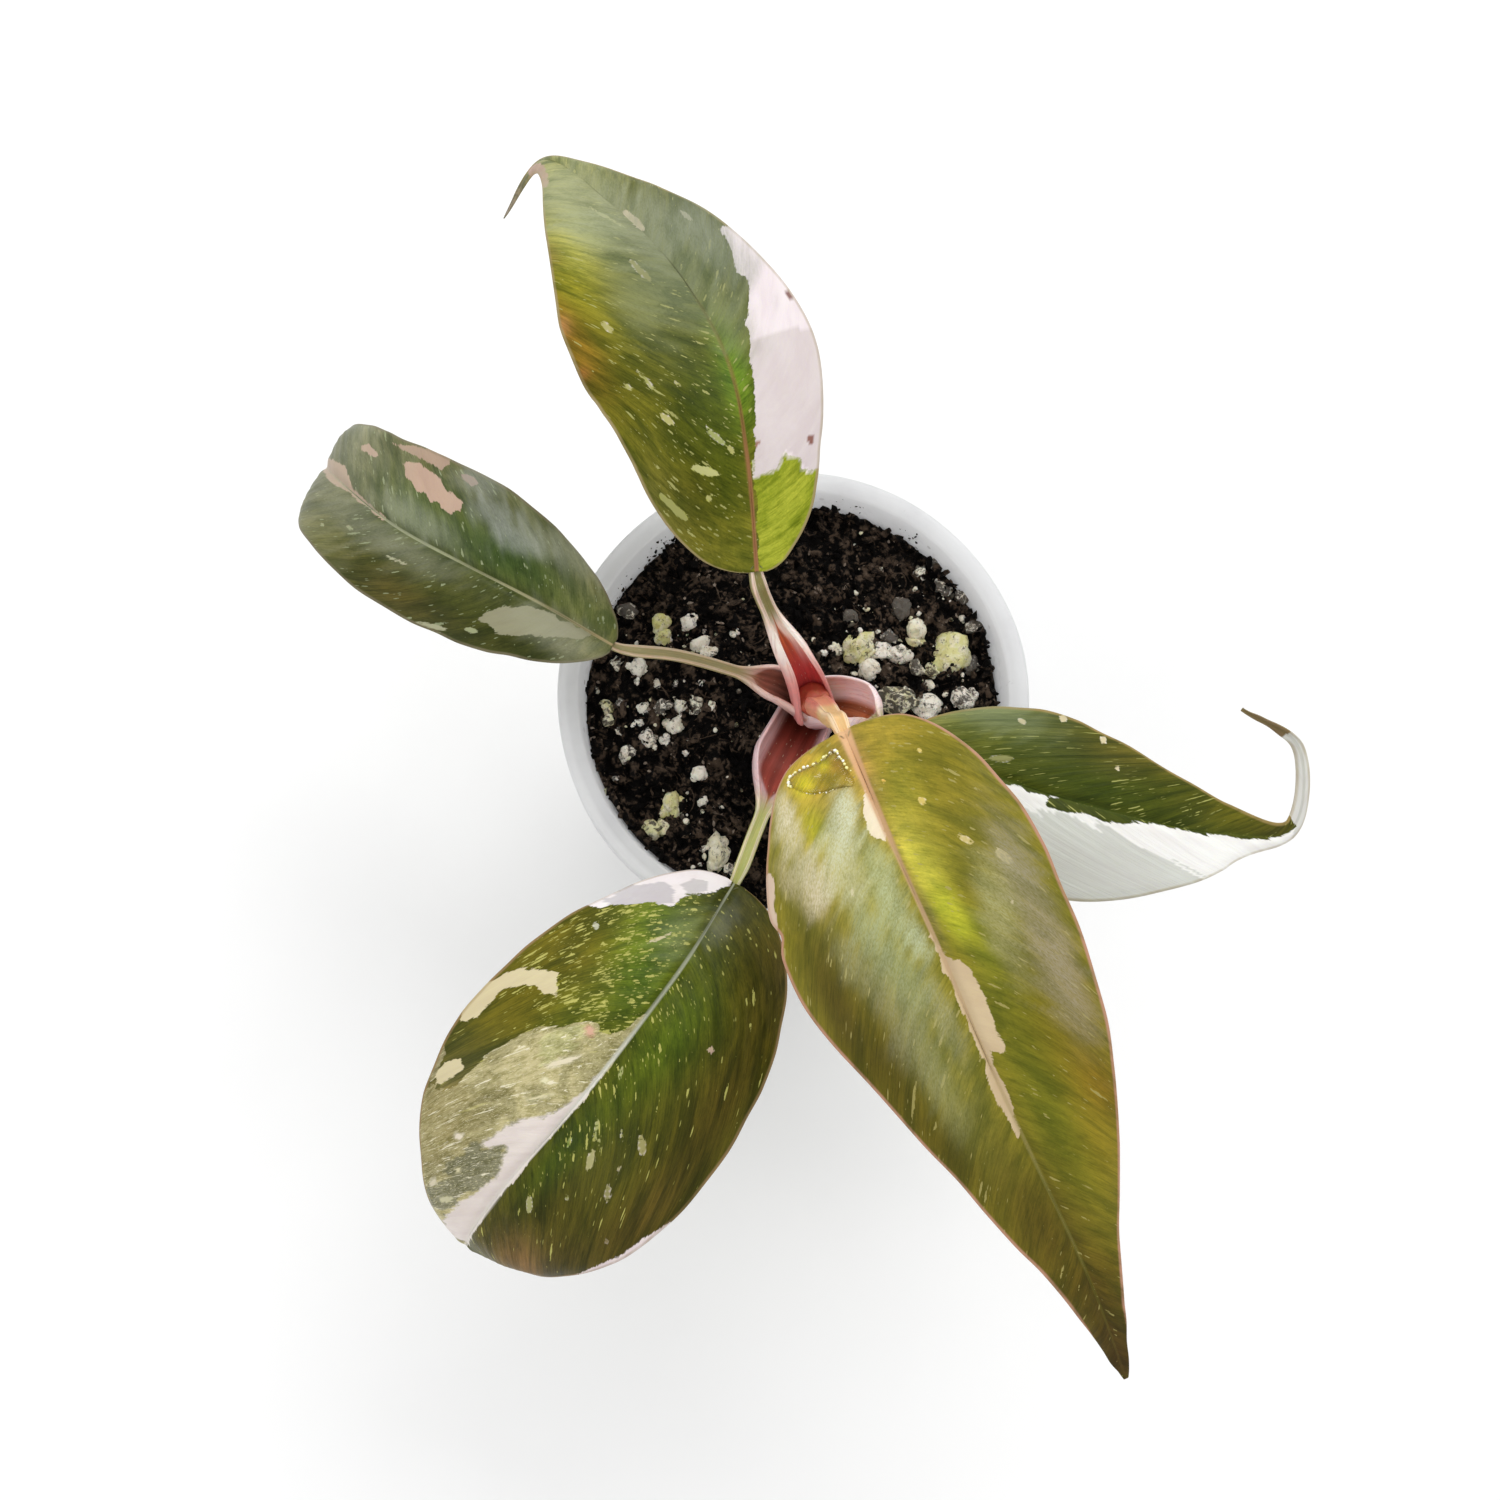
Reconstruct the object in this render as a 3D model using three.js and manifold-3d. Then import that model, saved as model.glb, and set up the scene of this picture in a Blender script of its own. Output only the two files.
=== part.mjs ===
// A young red and cream variegated philodendron with five leaves, growing in a small frosted nursery pot.
// Millimetres, +Z up. The origin is the centre of the pot's flat base, +X is the viewer's right and
// +Y is away from the viewer, who looks down on the plant.
import * as THREE from "three";
import { mergeVertices } from "three/addons/utils/BufferGeometryUtils.js";
import Module from "manifold-3d";

const GAP = 0.3; // clearance between pieces that touch
const SEED = 20261;

// Nursery pot: a tapered cup with a turned-over rim and drain holes round the middle of its floor.
const POT = { height: 66, rimRadius: 38, baseRadius: 27, wall: 1, floor: 1.2, sides: 48 };
const RIM = { width: 2.4, thickness: 0.9, skirt: 6, round: 0.5 };
const DRAIN = { holes: 6, radius: 2.6, ringRadius: 17, sides: 16 };

// Potting mix: its level at the wall, the dish in the middle, and the grid that its surface is built on.
const SOIL = { level: 60.8, dish: 1.0, rings: 12, sides: 44, edgeDip: 1.6 };
const CRUMBS = { count: 170, least: 1.6, most: 3.6, height: 2 };

// The larger perlite grains and bark chips on the surface: x, y and radius.
const GRAIN_FLATTEN = 0.8; // height of a grain over its width
const GRAIN_LIFT = 0.15; // how far a grain's middle stands above the surface, as a share of its radius
const GRAINS = [
  [-21.5, 7.0, 1.9], [-17.3, 8.0, 1.3], [-15.3, 4.8, 1.4], [-8.5, 10.4, 1.2], [-25.0, 1.6, 1.4],
  [-22.3, -1.0, 1.2], [-24.0, -4.6, 1.2], [-18.5, -4.6, 1.6], [-19.5, -7.0, 1.3], [-15.6, -15.0, 1.1],
  [-19.6, -19.2, 1.8], [-15.3, -19.0, 1.3], [-22.0, -23.2, 1.5], [-12.4, -28.0, 1.7], [-10.5, 6.4, 1.1],
  [8.8, 3.6, 2.2], [11.4, 1.0, 1.7], [14.9, 3.6, 1.5], [18.8, 6.6, 1.6], [24.0, 3.4, 2.3],
  [13.4, 21.0, 1.3], [17.4, 19.6, 1.6], [15.4, -4.0, 2.0], [21.0, -5.4, 1.6], [26.4, -4.0, 1.7],
  [20.8, 1.0, 1.2], [4.4, 24.4, 1.2], [-2.0, 18.0, 1.3], [27.0, 10.6, 1.4], [22.4, 14.2, 1.3],
];

// Main stem and the roots that spread from its foot.
const STEM = {
  line: [[3.2, 0.4, 50], [3.1, -0.8, 62], [2.7, -2.2, 74.4]],
  foot: 3.4,
  top: 2.5,
  rows: 8,
  sides: 10,
};
const ROOTS = {
  count: 6,
  crown: 4.2,
  crownDepth: 7,
  start: 1.5,
  end: 0.6,
  reach: 23,
  deepest: 12,
  twist: 0.5, // how far a root turns round the stem over its length, in radians
  shallow: 0.55, // depth of every other root, as a share of the deepest
  rows: 8,
  sides: 6,
};
// The course of a root: shares of its reach and of its fall.
const ROOT_COURSE = [[0.04, 0], [0.35, 0.18], [0.75, 0.45], [0.9, 0.75], [0.86, 1]];

// Leaf blades: the columns of the grid across a blade, from one margin (-1) to the other (1), its thickness,
// and the height of the midrib's keel on the underside.
const BLADE = { across: [-1, -0.7, -0.38, -0.08, 0, 0.08, 0.38, 0.7, 1], thickness: 0.6, keel: 1.1 };
const BLADE_FOOT = 1.1; // half-width where the blade meets its petiole
const BLADE_TIP = 0.4; // half-width at the very tip
const LOBE_SPAN = 0.35; // share of the blade's rows over which its basal lobes reach back
const LOBE_START = 0.1; // share of the rows in which they begin, clear of the petiole

// Petioles: each has a winged sheath at its foot and a solid, grooved stalk above it. The stalk runs straight
// for its last stretch before the blade. The sheath opens upwards and leans in towards the stem. close: the
// share of the petiole over which the sheath closes.
const STALK = { arc: 2.4, groove: 0.25, points: 7, rows: 16, straight: 2.6 };
const SHEATH = { edge: 0.6, back: 1.5, close: 0.16, lean: 0.8, deepest: 0.8, hollow: 0.2 };

// The five leaves, youngest first. midrib, petiole: points in mm. left, right: half-widths at nine steps
// from base to tip. roll: turn of the blade about its midrib at base, middle and tip, in degrees.
// fold, droop: slope of each half at the midrib and at the margin, in degrees. lobe: how far the base
// reaches back. wave: height and number of the margin's waves. stalk: the petiole's radius. sheath: its
// radius at the foot and in the middle, how far round it reaches to each side, in radians, and the share of
// the petiole that it takes.
const LEAVES = [
  {
    name: "front",
    rows: 26,
    midrib: [
      [4.9, -14.9, 109.2], [9.8, -29.0, 114.6], [16.4, -44.6, 115.2], [23.2, -60.0, 112.8],
      [30.4, -74.2, 108.0], [37.4, -87.6, 101.5], [43.5, -101.0, 93.0],
    ],
    left: [8.4, 13.6, 17.2, 17.8, 16.0, 11.4, 5.8, 2.5, 1.0],
    right: [9.6, 14.6, 18.9, 19.0, 13.9, 9.2, 5.2, 2.6, 0.9],
    roll: [-16, -11, -5],
    fold: 13,
    droop: -12,
    lobe: 1.2,
    wave: [0.7, 2.5],
    petiole: [[2.7, -2.4, 74.8], [2.9, -4.4, 82], [3.3, -7.8, 92], [3.7, -11.4, 101.5]],
    stalk: 1.35,
    sheath: { foot: 2.5, middle: 2.1, arc: 2.8, share: 0.3 },
  },
  {
    name: "top",
    rows: 26,
    midrib: [
      [-6.7, 11.0, 98.3], [-8.2, 26.4, 103.2], [-11.2, 41.4, 103.6], [-18.8, 56.2, 101.4],
      [-28.7, 69.0, 96.4], [-39.4, 79.6, 90.0], [-47.0, 76.2, 78.0],
    ],
    left: [7.6, 13.5, 17.3, 20.6, 19.4, 12.6, 4.4, 0.9, 0.6],
    right: [4.7, 8.8, 11.5, 13.2, 10.6, 7.3, 2.0, 0.8, 0.6],
    roll: [0, -3, 4],
    fold: 12,
    droop: -10,
    lobe: 0.8,
    wave: [0.9, 2],
    petiole: [[3.1, -2.0, 69], [0.9, 1.2, 76.8], [-4.2, 7.0, 87.8], [-6.2, 9.6, 94]],
    stalk: 1.25,
    sheath: { foot: 3.9, middle: 3.3, arc: 1.9, share: 0.64 },
  },
  {
    name: "right",
    rows: 30,
    midrib: [
      [13.8, -12.6, 86.6], [25.9, -17.0, 90.6], [38.2, -21.2, 92.2], [50.9, -24.0, 89.9],
      [63.0, -25.0, 84.6], [74.6, -23.6, 80.6], [75.6, -11.8, 83.0], [66.0, -6.6, 87.0],
    ],
    left: [4.6, 8.6, 11.6, 11.0, 6.8, 2.2, 1.4, 1.0, 0.6],
    right: [5.2, 10.2, 14.0, 13.8, 8.2, 1.8, 1.2, 0.9, 0.6],
    roll: [0, 3, 8],
    fold: 12,
    droop: -10,
    lobe: 0,
    wave: [0.8, 2],
    petiole: [[3.1, -1.2, 66.4], [6.4, -1.6, 70], [10.2, -4.2, 74.8], [12.4, -8, 81]],
    stalk: 1.2,
    sheath: { foot: 4.4, middle: 4.4, arc: 1.9, share: 0.55 },
  },
  {
    name: "left",
    rows: 24,
    midrib: [
      [-28.3, 4.0, 82.2], [-39.2, 9.8, 85.0], [-50.4, 15.4, 86.0], [-61.2, 21.8, 84.2],
      [-69.8, 29.4, 80.0], [-74.6, 35.0, 73.6], [-75.6, 37.6, 65.6],
    ],
    left: [3.6, 7.3, 10.0, 11.4, 11.2, 10.4, 9.6, 7.2, 3.6],
    right: [4.0, 7.8, 11.4, 13.4, 13.0, 11.0, 9.2, 6.6, 3.2],
    roll: [4, 9, 15],
    fold: 12,
    droop: -14,
    lobe: 0.4,
    wave: [0.4, 2],
    petiole: [
      [3.0, -1.2, 67.8], [-1.4, 0.0, 72.2], [-7.5, 0.9, 75.8], [-14.6, 2.3, 79.2], [-21.5, 3.3, 81.3],
    ],
    stalk: 0.95,
    sheath: { foot: 4.0, middle: 2.9, arc: 1.9, share: 0.4 },
  },
  {
    name: "lower_left",
    rows: 24,
    midrib: [
      [-9.7, -32.2, 80.4], [-16.6, -43.8, 84.0], [-24.6, -54.9, 86.0], [-33.2, -65.6, 84.6],
      [-41.8, -75.0, 79.4], [-48.0, -82.4, 71.6], [-50.4, -85.6, 62.6],
    ],
    left: [7.4, 13.4, 18.0, 20.8, 21.2, 19.2, 14.4, 8.6, 4.0],
    right: [6.8, 12.8, 17.8, 20.6, 21.4, 18.4, 11.8, 6.2, 3.0],
    roll: [-1, 0, 6],
    fold: 10,
    droop: -14,
    lobe: 1.0,
    wave: [0.5, 2],
    petiole: [
      [3.0, -1.2, 65], [1.2, -5.4, 68.2], [-2.4, -12.8, 72.4], [-5.0, -20.2, 75.6], [-7.4, -26.2, 78.3],
    ],
    stalk: 1.1,
    sheath: { foot: 4.5, middle: 5.0, arc: 1.9, share: 0.6 },
  },
];

const wasm = await Module();
wasm.setup();

// A closed geometry as a solid that can be joined and cut.
function solidOf(geometry) {
  const bare = geometry.clone();
  bare.deleteAttribute("normal");
  bare.deleteAttribute("uv");
  const merged = mergeVertices(bare, 1e-4);
  return new wasm.Manifold(
    new wasm.Mesh({
      numProp: 3,
      vertProperties: merged.getAttribute("position").array,
      triVerts: new Uint32Array(merged.index.array),
    }),
  );
}

// The largest body of a solid, as a geometry.
function geometryOf(solid) {
  const largest = solid.decompose().reduce((a, b) => (b.volume() > a.volume() ? b : a));
  const mesh = largest.getMesh();
  const positions = new Float32Array(mesh.vertProperties);
  return new THREE.BufferGeometry()
    .setAttribute("position", new THREE.BufferAttribute(positions, 3))
    .setIndex(new THREE.BufferAttribute(new Uint32Array(mesh.triVerts), 1));
}

// A repeatable stream of numbers from 0 to 1.
function randomStream(seed) {
  let state = seed;
  return () => {
    state = (Math.imul(state, 1664525) + 1013904223) >>> 0;
    return state / 4294967296;
  };
}

// The smooth line through points given as [x, y, z].
function lineThrough(points) {
  const vectors = points.map((p) => new THREE.Vector3(...p));
  return new THREE.CatmullRomCurve3(vectors, false, "catmullrom", 0.5);
}

// The value at share u of a smooth graph through evenly spaced values.
function smooth(values, u) {
  const graph = new THREE.SplineCurve(values.map((v, i) => new THREE.Vector2(i, v)));
  return graph.getPoint(u).y;
}

// A closed geometry from rings of points: each ring is an outline, whose first half runs one way and whose
// second half runs back beside it, so that a strip across it closes each end.
function loftRings(rings) {
  const n = rings[0].length;
  const half = n / 2;
  const index = [];
  for (let i = 0; i + 1 < rings.length; i++)
    for (let j = 0; j < n; j++) {
      const [a, b] = [i * n + j, i * n + ((j + 1) % n)];
      index.push(a, b, b + n, a, b + n, a + n);
    }
  const last = (rings.length - 1) * n;
  for (let j = 0; j + 1 < half; j++) {
    const [a, b, c, d] = [j, j + 1, n - 2 - j, n - 1 - j];
    index.push(a, c, b, a, d, c);
    index.push(last + a, last + b, last + c, last + a, last + c, last + d);
  }
  return new THREE.BufferGeometry().setFromPoints(rings.flat()).setIndex(index);
}

// How far each ring of a lofted piece moves along it, so that a piece grown all round grows at its ends too.
function endShift(i, rows, grow) {
  return i === 0 ? -grow : i === rows ? grow : 0;
}

// A round, tapered rod along a curve, from one radius to another, grown all round by a clearance.
function taperedRod(curve, from, to, grow, rows, sides) {
  const frames = curve.computeFrenetFrames(rows, false);
  const rings = [];
  for (let i = 0; i <= rows; i++) {
    const centre = curve.getPointAt(i / rows).addScaledVector(frames.tangents[i], endShift(i, rows, grow));
    const radius = THREE.MathUtils.lerp(from, to, i / rows) + grow;
    const ring = [];
    for (let j = 0; j < sides; j++) {
      const angle = (j / sides) * 2 * Math.PI;
      ring.push(
        centre
          .clone()
          .addScaledVector(frames.normals[i], Math.cos(angle) * radius)
          .addScaledVector(frames.binormals[i], Math.sin(angle) * radius),
      );
    }
    rings.push(ring);
  }
  return loftRings(rings);
}

// Pot: one turned shell with a rim that folds out and down, drilled for drainage.
function makePot() {
  const { height, rimRadius, baseRadius, wall, floor, sides } = POT;
  const neck = rimRadius - RIM.width;
  const profile = [
    [0, 0], [baseRadius - wall, 0], [baseRadius, wall],
    [neck, height - RIM.thickness],
    [rimRadius - RIM.thickness, height - RIM.thickness],
    [rimRadius - RIM.thickness, height - RIM.skirt],
    [rimRadius, height - RIM.skirt],
    [rimRadius, height - RIM.round], [rimRadius - RIM.round, height],
    [neck - wall + RIM.round, height], [neck - wall, height - RIM.round],
    [baseRadius - wall, floor + wall], [baseRadius - 2 * wall, floor], [0, floor],
  ].map(([r, z]) => new THREE.Vector2(r, z));
  const shell = new THREE.LatheGeometry(profile, sides).rotateX(Math.PI / 2);
  let solid = solidOf(shell);
  for (let i = 0; i < DRAIN.holes; i++) {
    const angle = ((i + 0.5) / DRAIN.holes) * 2 * Math.PI;
    const drill = new THREE.CylinderGeometry(DRAIN.radius, DRAIN.radius, floor * 4, DRAIN.sides)
      .rotateX(Math.PI / 2)
      .translate(Math.cos(angle) * DRAIN.ringRadius, Math.sin(angle) * DRAIN.ringRadius, 0);
    solid = solid.subtract(solidOf(drill));
  }
  return geometryOf(solid);
}

// Radius of the pot's inner wall at height z.
function innerRadius(z) {
  const share = (z - POT.floor) / (POT.height - POT.floor);
  return THREE.MathUtils.lerp(POT.baseRadius, POT.rimRadius - RIM.width, share) - POT.wall;
}

// Height of the potting mix at a place: a shallow dish, lower by the far left wall, with seeded crumbs.
const crumbs = (() => {
  const random = randomStream(SEED);
  return Array.from({ length: CRUMBS.count }, () => {
    const angle = random() * 2 * Math.PI;
    const distance = Math.sqrt(random()) * innerRadius(SOIL.level);
    return {
      x: Math.cos(angle) * distance,
      y: Math.sin(angle) * distance,
      radius: THREE.MathUtils.lerp(CRUMBS.least, CRUMBS.most, random()),
      height: (random() - 0.3) * CRUMBS.height,
    };
  });
})();
function soilHeight(x, y) {
  const share = Math.hypot(x, y) / innerRadius(SOIL.level);
  const farLeft = THREE.MathUtils.smoothstep((y - x) / 2, 12, 26);
  let z = SOIL.level - SOIL.dish * (1 - share * share) - SOIL.edgeDip * farLeft;
  for (const c of crumbs) {
    const d = Math.hypot(x - c.x, y - c.y) / c.radius;
    if (d < 1) z += c.height * (1 - d * d) ** 2;
  }
  return z;
}

// Potting mix: a turned plug that fills the pot, with a crumbly top and with its larger grains sunk in.
function makeSoil(hollows) {
  const foot = POT.floor + GAP;
  const edge = innerRadius(SOIL.level) - GAP;
  const bevel = POT.wall;
  const profile = [
    [0, foot],
    [innerRadius(foot) - GAP - bevel, foot],
    [innerRadius(foot + bevel) - GAP, foot + bevel],
  ];
  for (let i = SOIL.rings; i >= 0; i--) profile.push([(edge * i) / SOIL.rings, SOIL.level]);
  const plug = new THREE.LatheGeometry(
    profile.map(([r, z]) => new THREE.Vector2(r, z)),
    SOIL.sides,
  ).rotateX(Math.PI / 2);
  const position = plug.getAttribute("position");
  for (let i = 0; i < position.count; i++)
    if (Math.abs(position.getZ(i) - SOIL.level) < 1e-3)
      position.setZ(i, soilHeight(position.getX(i), position.getY(i)));
  let solid = solidOf(plug);
  const random = randomStream(SEED + 1);
  for (const [x, y, radius] of GRAINS) {
    const grain = new THREE.IcosahedronGeometry(radius, 0)
      .rotateX(random() * Math.PI)
      .rotateZ(random() * Math.PI)
      .scale(1, 1, GRAIN_FLATTEN)
      .translate(x, y, soilHeight(x, y) + radius * GRAIN_LIFT);
    solid = solid.add(solidOf(grain));
  }
  for (const hollow of hollows) solid = solid.subtract(solidOf(hollow));
  return geometryOf(solid);
}

// Main stem, from its foot in the potting mix to the youngest petiole.
function makeStem(grow) {
  return taperedRod(lineThrough(STEM.line), STEM.foot, STEM.top, grow, STEM.rows, STEM.sides);
}

// Roots: cords that leave the foot of the stem and sink outwards through the potting mix.
function makeRoots(grow) {
  const [x, y, z] = STEM.line[0];
  const { crown: radius, crownDepth: depth, twist, reach } = ROOTS;
  const crown = new THREE.CylinderGeometry(radius + grow, radius * 0.6 + grow, depth + 2 * grow, STEM.sides)
    .rotateX(Math.PI / 2)
    .translate(x, y, z - GAP - depth / 2);
  let solid = solidOf(crown);
  for (let i = 0; i < ROOTS.count; i++) {
    const angle = ((i + 0.3) / ROOTS.count) * 2 * Math.PI;
    const sink = i % 2 ? 1 : ROOTS.shallow;
    const course = ROOT_COURSE.map(([share, fall]) => [
      x + Math.cos(angle + share * twist) * reach * share,
      y + Math.sin(angle + share * twist) * reach * share,
      THREE.MathUtils.lerp(z - depth * 0.6, ROOTS.deepest, fall * sink),
    ]);
    const root = taperedRod(lineThrough(course), ROOTS.start, ROOTS.end, grow, ROOTS.rows, ROOTS.sides);
    solid = solid.add(solidOf(root));
  }
  return geometryOf(solid);
}

// Rows of a blade, close together near its base and its tip: the point on the midrib, the directions along
// it, across it to the right and up out of it, and the two half-widths.
function bladeRows(leaf) {
  const line = lineThrough(leaf.midrib);
  const widths = (side) => [BLADE_FOOT, ...leaf[side], BLADE_TIP];
  const step = 1e-3;
  const rows = [];
  let across = null;
  for (let i = 0; i <= leaf.rows; i++) {
    const turn = i / leaf.rows;
    const t = (1 - Math.cos(Math.PI * turn)) / 2;
    const along = line
      .getPoint(Math.min(t + step, 1))
      .sub(line.getPoint(Math.max(t - step, 0)))
      .normalize();
    if (!across) across = along.clone().cross(new THREE.Vector3(0, 0, 1));
    across = across.addScaledVector(along, -across.dot(along)).normalize();
    const roll = THREE.MathUtils.degToRad(smooth(leaf.roll, t));
    const side = across.clone().applyAxisAngle(along, -roll);
    rows.push({
      turn,
      t,
      along,
      side,
      up: side.clone().cross(along),
      point: line.getPoint(t),
      left: smooth(widths("left"), turn),
      right: smooth(widths("right"), turn),
    });
  }
  return rows;
}

// The point of a blade's middle surface at a row and at share s of the way to a margin. Each half rises from
// the midrib at the fold's slope and bends down to the droop's slope, so its width stays true.
function bladePoint(leaf, row, s) {
  const share = Math.abs(s);
  const width = s < 0 ? row.left : row.right;
  const from = THREE.MathUtils.degToRad(leaf.fold);
  const to = THREE.MathUtils.degToRad(leaf.droop);
  const slope = from + (to - from) * share;
  const out = (Math.sin(slope) - Math.sin(from)) / (to - from);
  const rise = (Math.cos(from) - Math.cos(slope)) / (to - from);
  const [height, count] = leaf.wave;
  const swell = Math.sin(Math.PI * row.turn) * height;
  const wave = swell * Math.sin(2 * Math.PI * count * row.t + (s < 0 ? 0 : 2)) * share * share;
  const lobe = Math.min(1, row.turn / LOBE_START) * Math.max(0, 1 - row.turn / LOBE_SPAN) ** 2;
  const back = leaf.lobe * lobe * share * share;
  return row.point
    .clone()
    .addScaledVector(row.side, Math.sign(s) * width * out)
    .addScaledVector(row.up, width * rise + wave)
    .addScaledVector(row.along, -back);
}

// Leaf blade: a thin folded and waved sheet, split into triangles alike on both faces, with a keel below.
function makeBlade(leaf) {
  const rows = bladeRows(leaf);
  const columns = BLADE.across.length;
  const middle = rows.map((row) => BLADE.across.map((s) => bladePoint(leaf, row, s)));
  const up = middle.map((line, i) =>
    line.map((p, j) => {
      const along = middle[Math.min(i + 1, rows.length - 1)][j].clone().sub(middle[Math.max(i - 1, 0)][j]);
      const across = line[Math.min(j + 1, columns - 1)].clone().sub(line[Math.max(j - 1, 0)]);
      return across.cross(along).normalize();
    }),
  );
  const rings = middle.map((line, i) => {
    const keel = BLADE.keel * (1 - rows[i].t) ** 0.7;
    const top = line.map((p, j) => p.clone().addScaledVector(up[i][j], BLADE.thickness / 2));
    const bottom = line.map((p, j) => {
      const depth = BLADE.thickness / 2 + (BLADE.across[j] === 0 ? keel : 0);
      return p.clone().addScaledVector(up[i][j], -depth);
    });
    return [...top, ...bottom.reverse()];
  });
  return loftRings(rings);
}

// Petiole: from the stem to just short of its blade. Its section is an outer arc round the back and an inner
// line that follows it as a thin sheath, then closes to a solid stalk with a shallow groove on top.
function makePetiole(leaf, grow) {
  const { foot, middle, arc: wrap, share } = leaf.sheath;
  const base = new THREE.Vector3(...leaf.midrib[0]);
  const heading = lineThrough(leaf.midrib).getTangent(0);
  const bend = base.clone().addScaledVector(heading, -STALK.straight);
  const end = base.clone().addScaledVector(heading, -GAP - 0.1);
  const line = lineThrough([...leaf.petiole, bend.toArray(), end.toArray()]);
  const out = base.clone().sub(new THREE.Vector3(...leaf.petiole[0])).setZ(0).normalize();
  const face = new THREE.Vector3(0, 0, 1).addScaledVector(out, -SHEATH.lean);
  const rings = [];
  for (let i = 0; i <= STALK.rows; i++) {
    const u = i / STALK.rows;
    const along = line.getTangentAt(u);
    const centre = line.getPointAt(u).addScaledVector(along, endShift(i, STALK.rows, grow));
    const side = along.clone().cross(face).normalize();
    const up = side.clone().cross(along);
    const solid = THREE.MathUtils.smoothstep(u, share - SHEATH.close, share);
    const winged = u < share / 2
      ? THREE.MathUtils.lerp(foot, middle, u / (share / 2))
      : THREE.MathUtils.lerp(middle, leaf.stalk, THREE.MathUtils.smoothstep(u, share / 2, share));
    const radius = winged + grow;
    const arc = THREE.MathUtils.lerp(wrap, STALK.arc, solid);
    const outer = [];
    const inner = [];
    for (let k = 0; k < STALK.points; k++) {
      const across = (2 * k) / (STALK.points - 1) - 1;
      const angle = arc * across;
      const wall = THREE.MathUtils.lerp(SHEATH.edge, SHEATH.back, Math.cos((across * Math.PI) / 2) ** 2);
      const deep = Math.max(radius - Math.min(wall + 2 * grow, radius * SHEATH.deepest), SHEATH.hollow);
      const flatX = radius * Math.sin(arc) * across;
      const flatY = -radius * Math.cos(arc) - STALK.groove * (1 - across * across);
      const place = (x, y) => centre.clone().addScaledVector(side, x).addScaledVector(up, y);
      outer.push(place(radius * Math.sin(angle), -radius * Math.cos(angle)));
      inner.push(
        place(
          THREE.MathUtils.lerp(deep * Math.sin(angle), flatX, solid),
          THREE.MathUtils.lerp(-deep * Math.cos(angle), flatY, solid),
        ),
      );
    }
    rings.push([...inner, ...outer.reverse()]);
  }
  return loftRings(rings);
}

const COLOURS = {
  frosted: { color: 0xe4e6e8, roughness: 0.45, metalness: 0 },
  soil: { color: 0x1f1713, roughness: 0.95, metalness: 0 },
  root: { color: 0xc9b48c, roughness: 0.8, metalness: 0 },
  stem: { color: 0x8a8a48, roughness: 0.5, metalness: 0 },
  petiole: { color: 0xc08a78, roughness: 0.45, metalness: 0 },
  blade: { color: 0x55662a, roughness: 0.35, metalness: 0 },
};

const plant = new THREE.Group();
function place(name, geometry, finish) {
  const mesh = new THREE.Mesh(geometry, new THREE.MeshStandardMaterial(finish));
  mesh.name = name;
  plant.add(mesh);
}

place("pot", makePot(), COLOURS.frosted);
place("soil", makeSoil([makeStem(GAP), makeRoots(GAP)]), COLOURS.soil);
place("roots", makeRoots(0), COLOURS.root);
place("stem", makeStem(0), COLOURS.stem);

// Each older petiole clasps the stem and the younger petioles, and stays clear of them.
const inside = [solidOf(makeStem(GAP))];
for (const leaf of LEAVES) {
  let petiole = solidOf(makePetiole(leaf, 0));
  for (const piece of inside) petiole = petiole.subtract(piece);
  inside.push(solidOf(makePetiole(leaf, GAP)));
  place("petiole_" + leaf.name, geometryOf(petiole), COLOURS.petiole);
  place("blade_" + leaf.name, makeBlade(leaf), COLOURS.blade);
}

export default plant;
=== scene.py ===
"""A young variegated philodendron in a frosted nursery pot, seen from above. Lengths are in millimetres."""

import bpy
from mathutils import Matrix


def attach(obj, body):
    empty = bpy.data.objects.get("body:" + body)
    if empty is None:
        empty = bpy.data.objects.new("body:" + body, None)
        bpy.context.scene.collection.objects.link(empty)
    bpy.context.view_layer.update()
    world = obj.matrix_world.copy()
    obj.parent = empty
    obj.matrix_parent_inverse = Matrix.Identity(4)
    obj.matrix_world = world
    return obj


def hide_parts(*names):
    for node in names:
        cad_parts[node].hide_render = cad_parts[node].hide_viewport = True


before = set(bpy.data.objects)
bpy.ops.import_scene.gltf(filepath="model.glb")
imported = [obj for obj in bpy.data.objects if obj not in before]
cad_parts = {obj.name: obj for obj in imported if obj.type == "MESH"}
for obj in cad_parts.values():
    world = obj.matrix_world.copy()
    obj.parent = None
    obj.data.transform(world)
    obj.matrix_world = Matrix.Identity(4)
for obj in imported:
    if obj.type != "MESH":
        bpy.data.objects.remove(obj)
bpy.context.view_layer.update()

import logging
import math
from collections.abc import Iterator
from dataclasses import dataclass
from enum import Enum
from functools import reduce

import bmesh
import bpy
import numpy as np
from mathutils import Matrix, Vector

LOG = logging.getLogger("potted_plant")

MM = 0.001  # metres in a millimetre
SEED = 20261
LATTICE = 97  # random values along each side of the pattern that smooth noise repeats

Colour = tuple[float, float, float]
Point = tuple[float, float, float]
Spot = tuple[float, float]
Socket = bpy.types.NodeSocket
Input = Socket | float | tuple[float, ...]


# Colours and smooth graphs


def hue(code: str) -> Colour:
    """Linear colour of a six-digit hex code."""
    parts = [int(code[i : i + 2], 16) / 255 for i in (0, 2, 4)]
    return tuple(c / 12.92 if c <= 0.04045 else ((c + 0.055) / 1.055) ** 2.4 for c in parts)


def hues(*codes: str) -> tuple[Colour, ...]:
    """Linear colours of several hex codes."""
    return tuple(hue(code) for code in codes)


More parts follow.
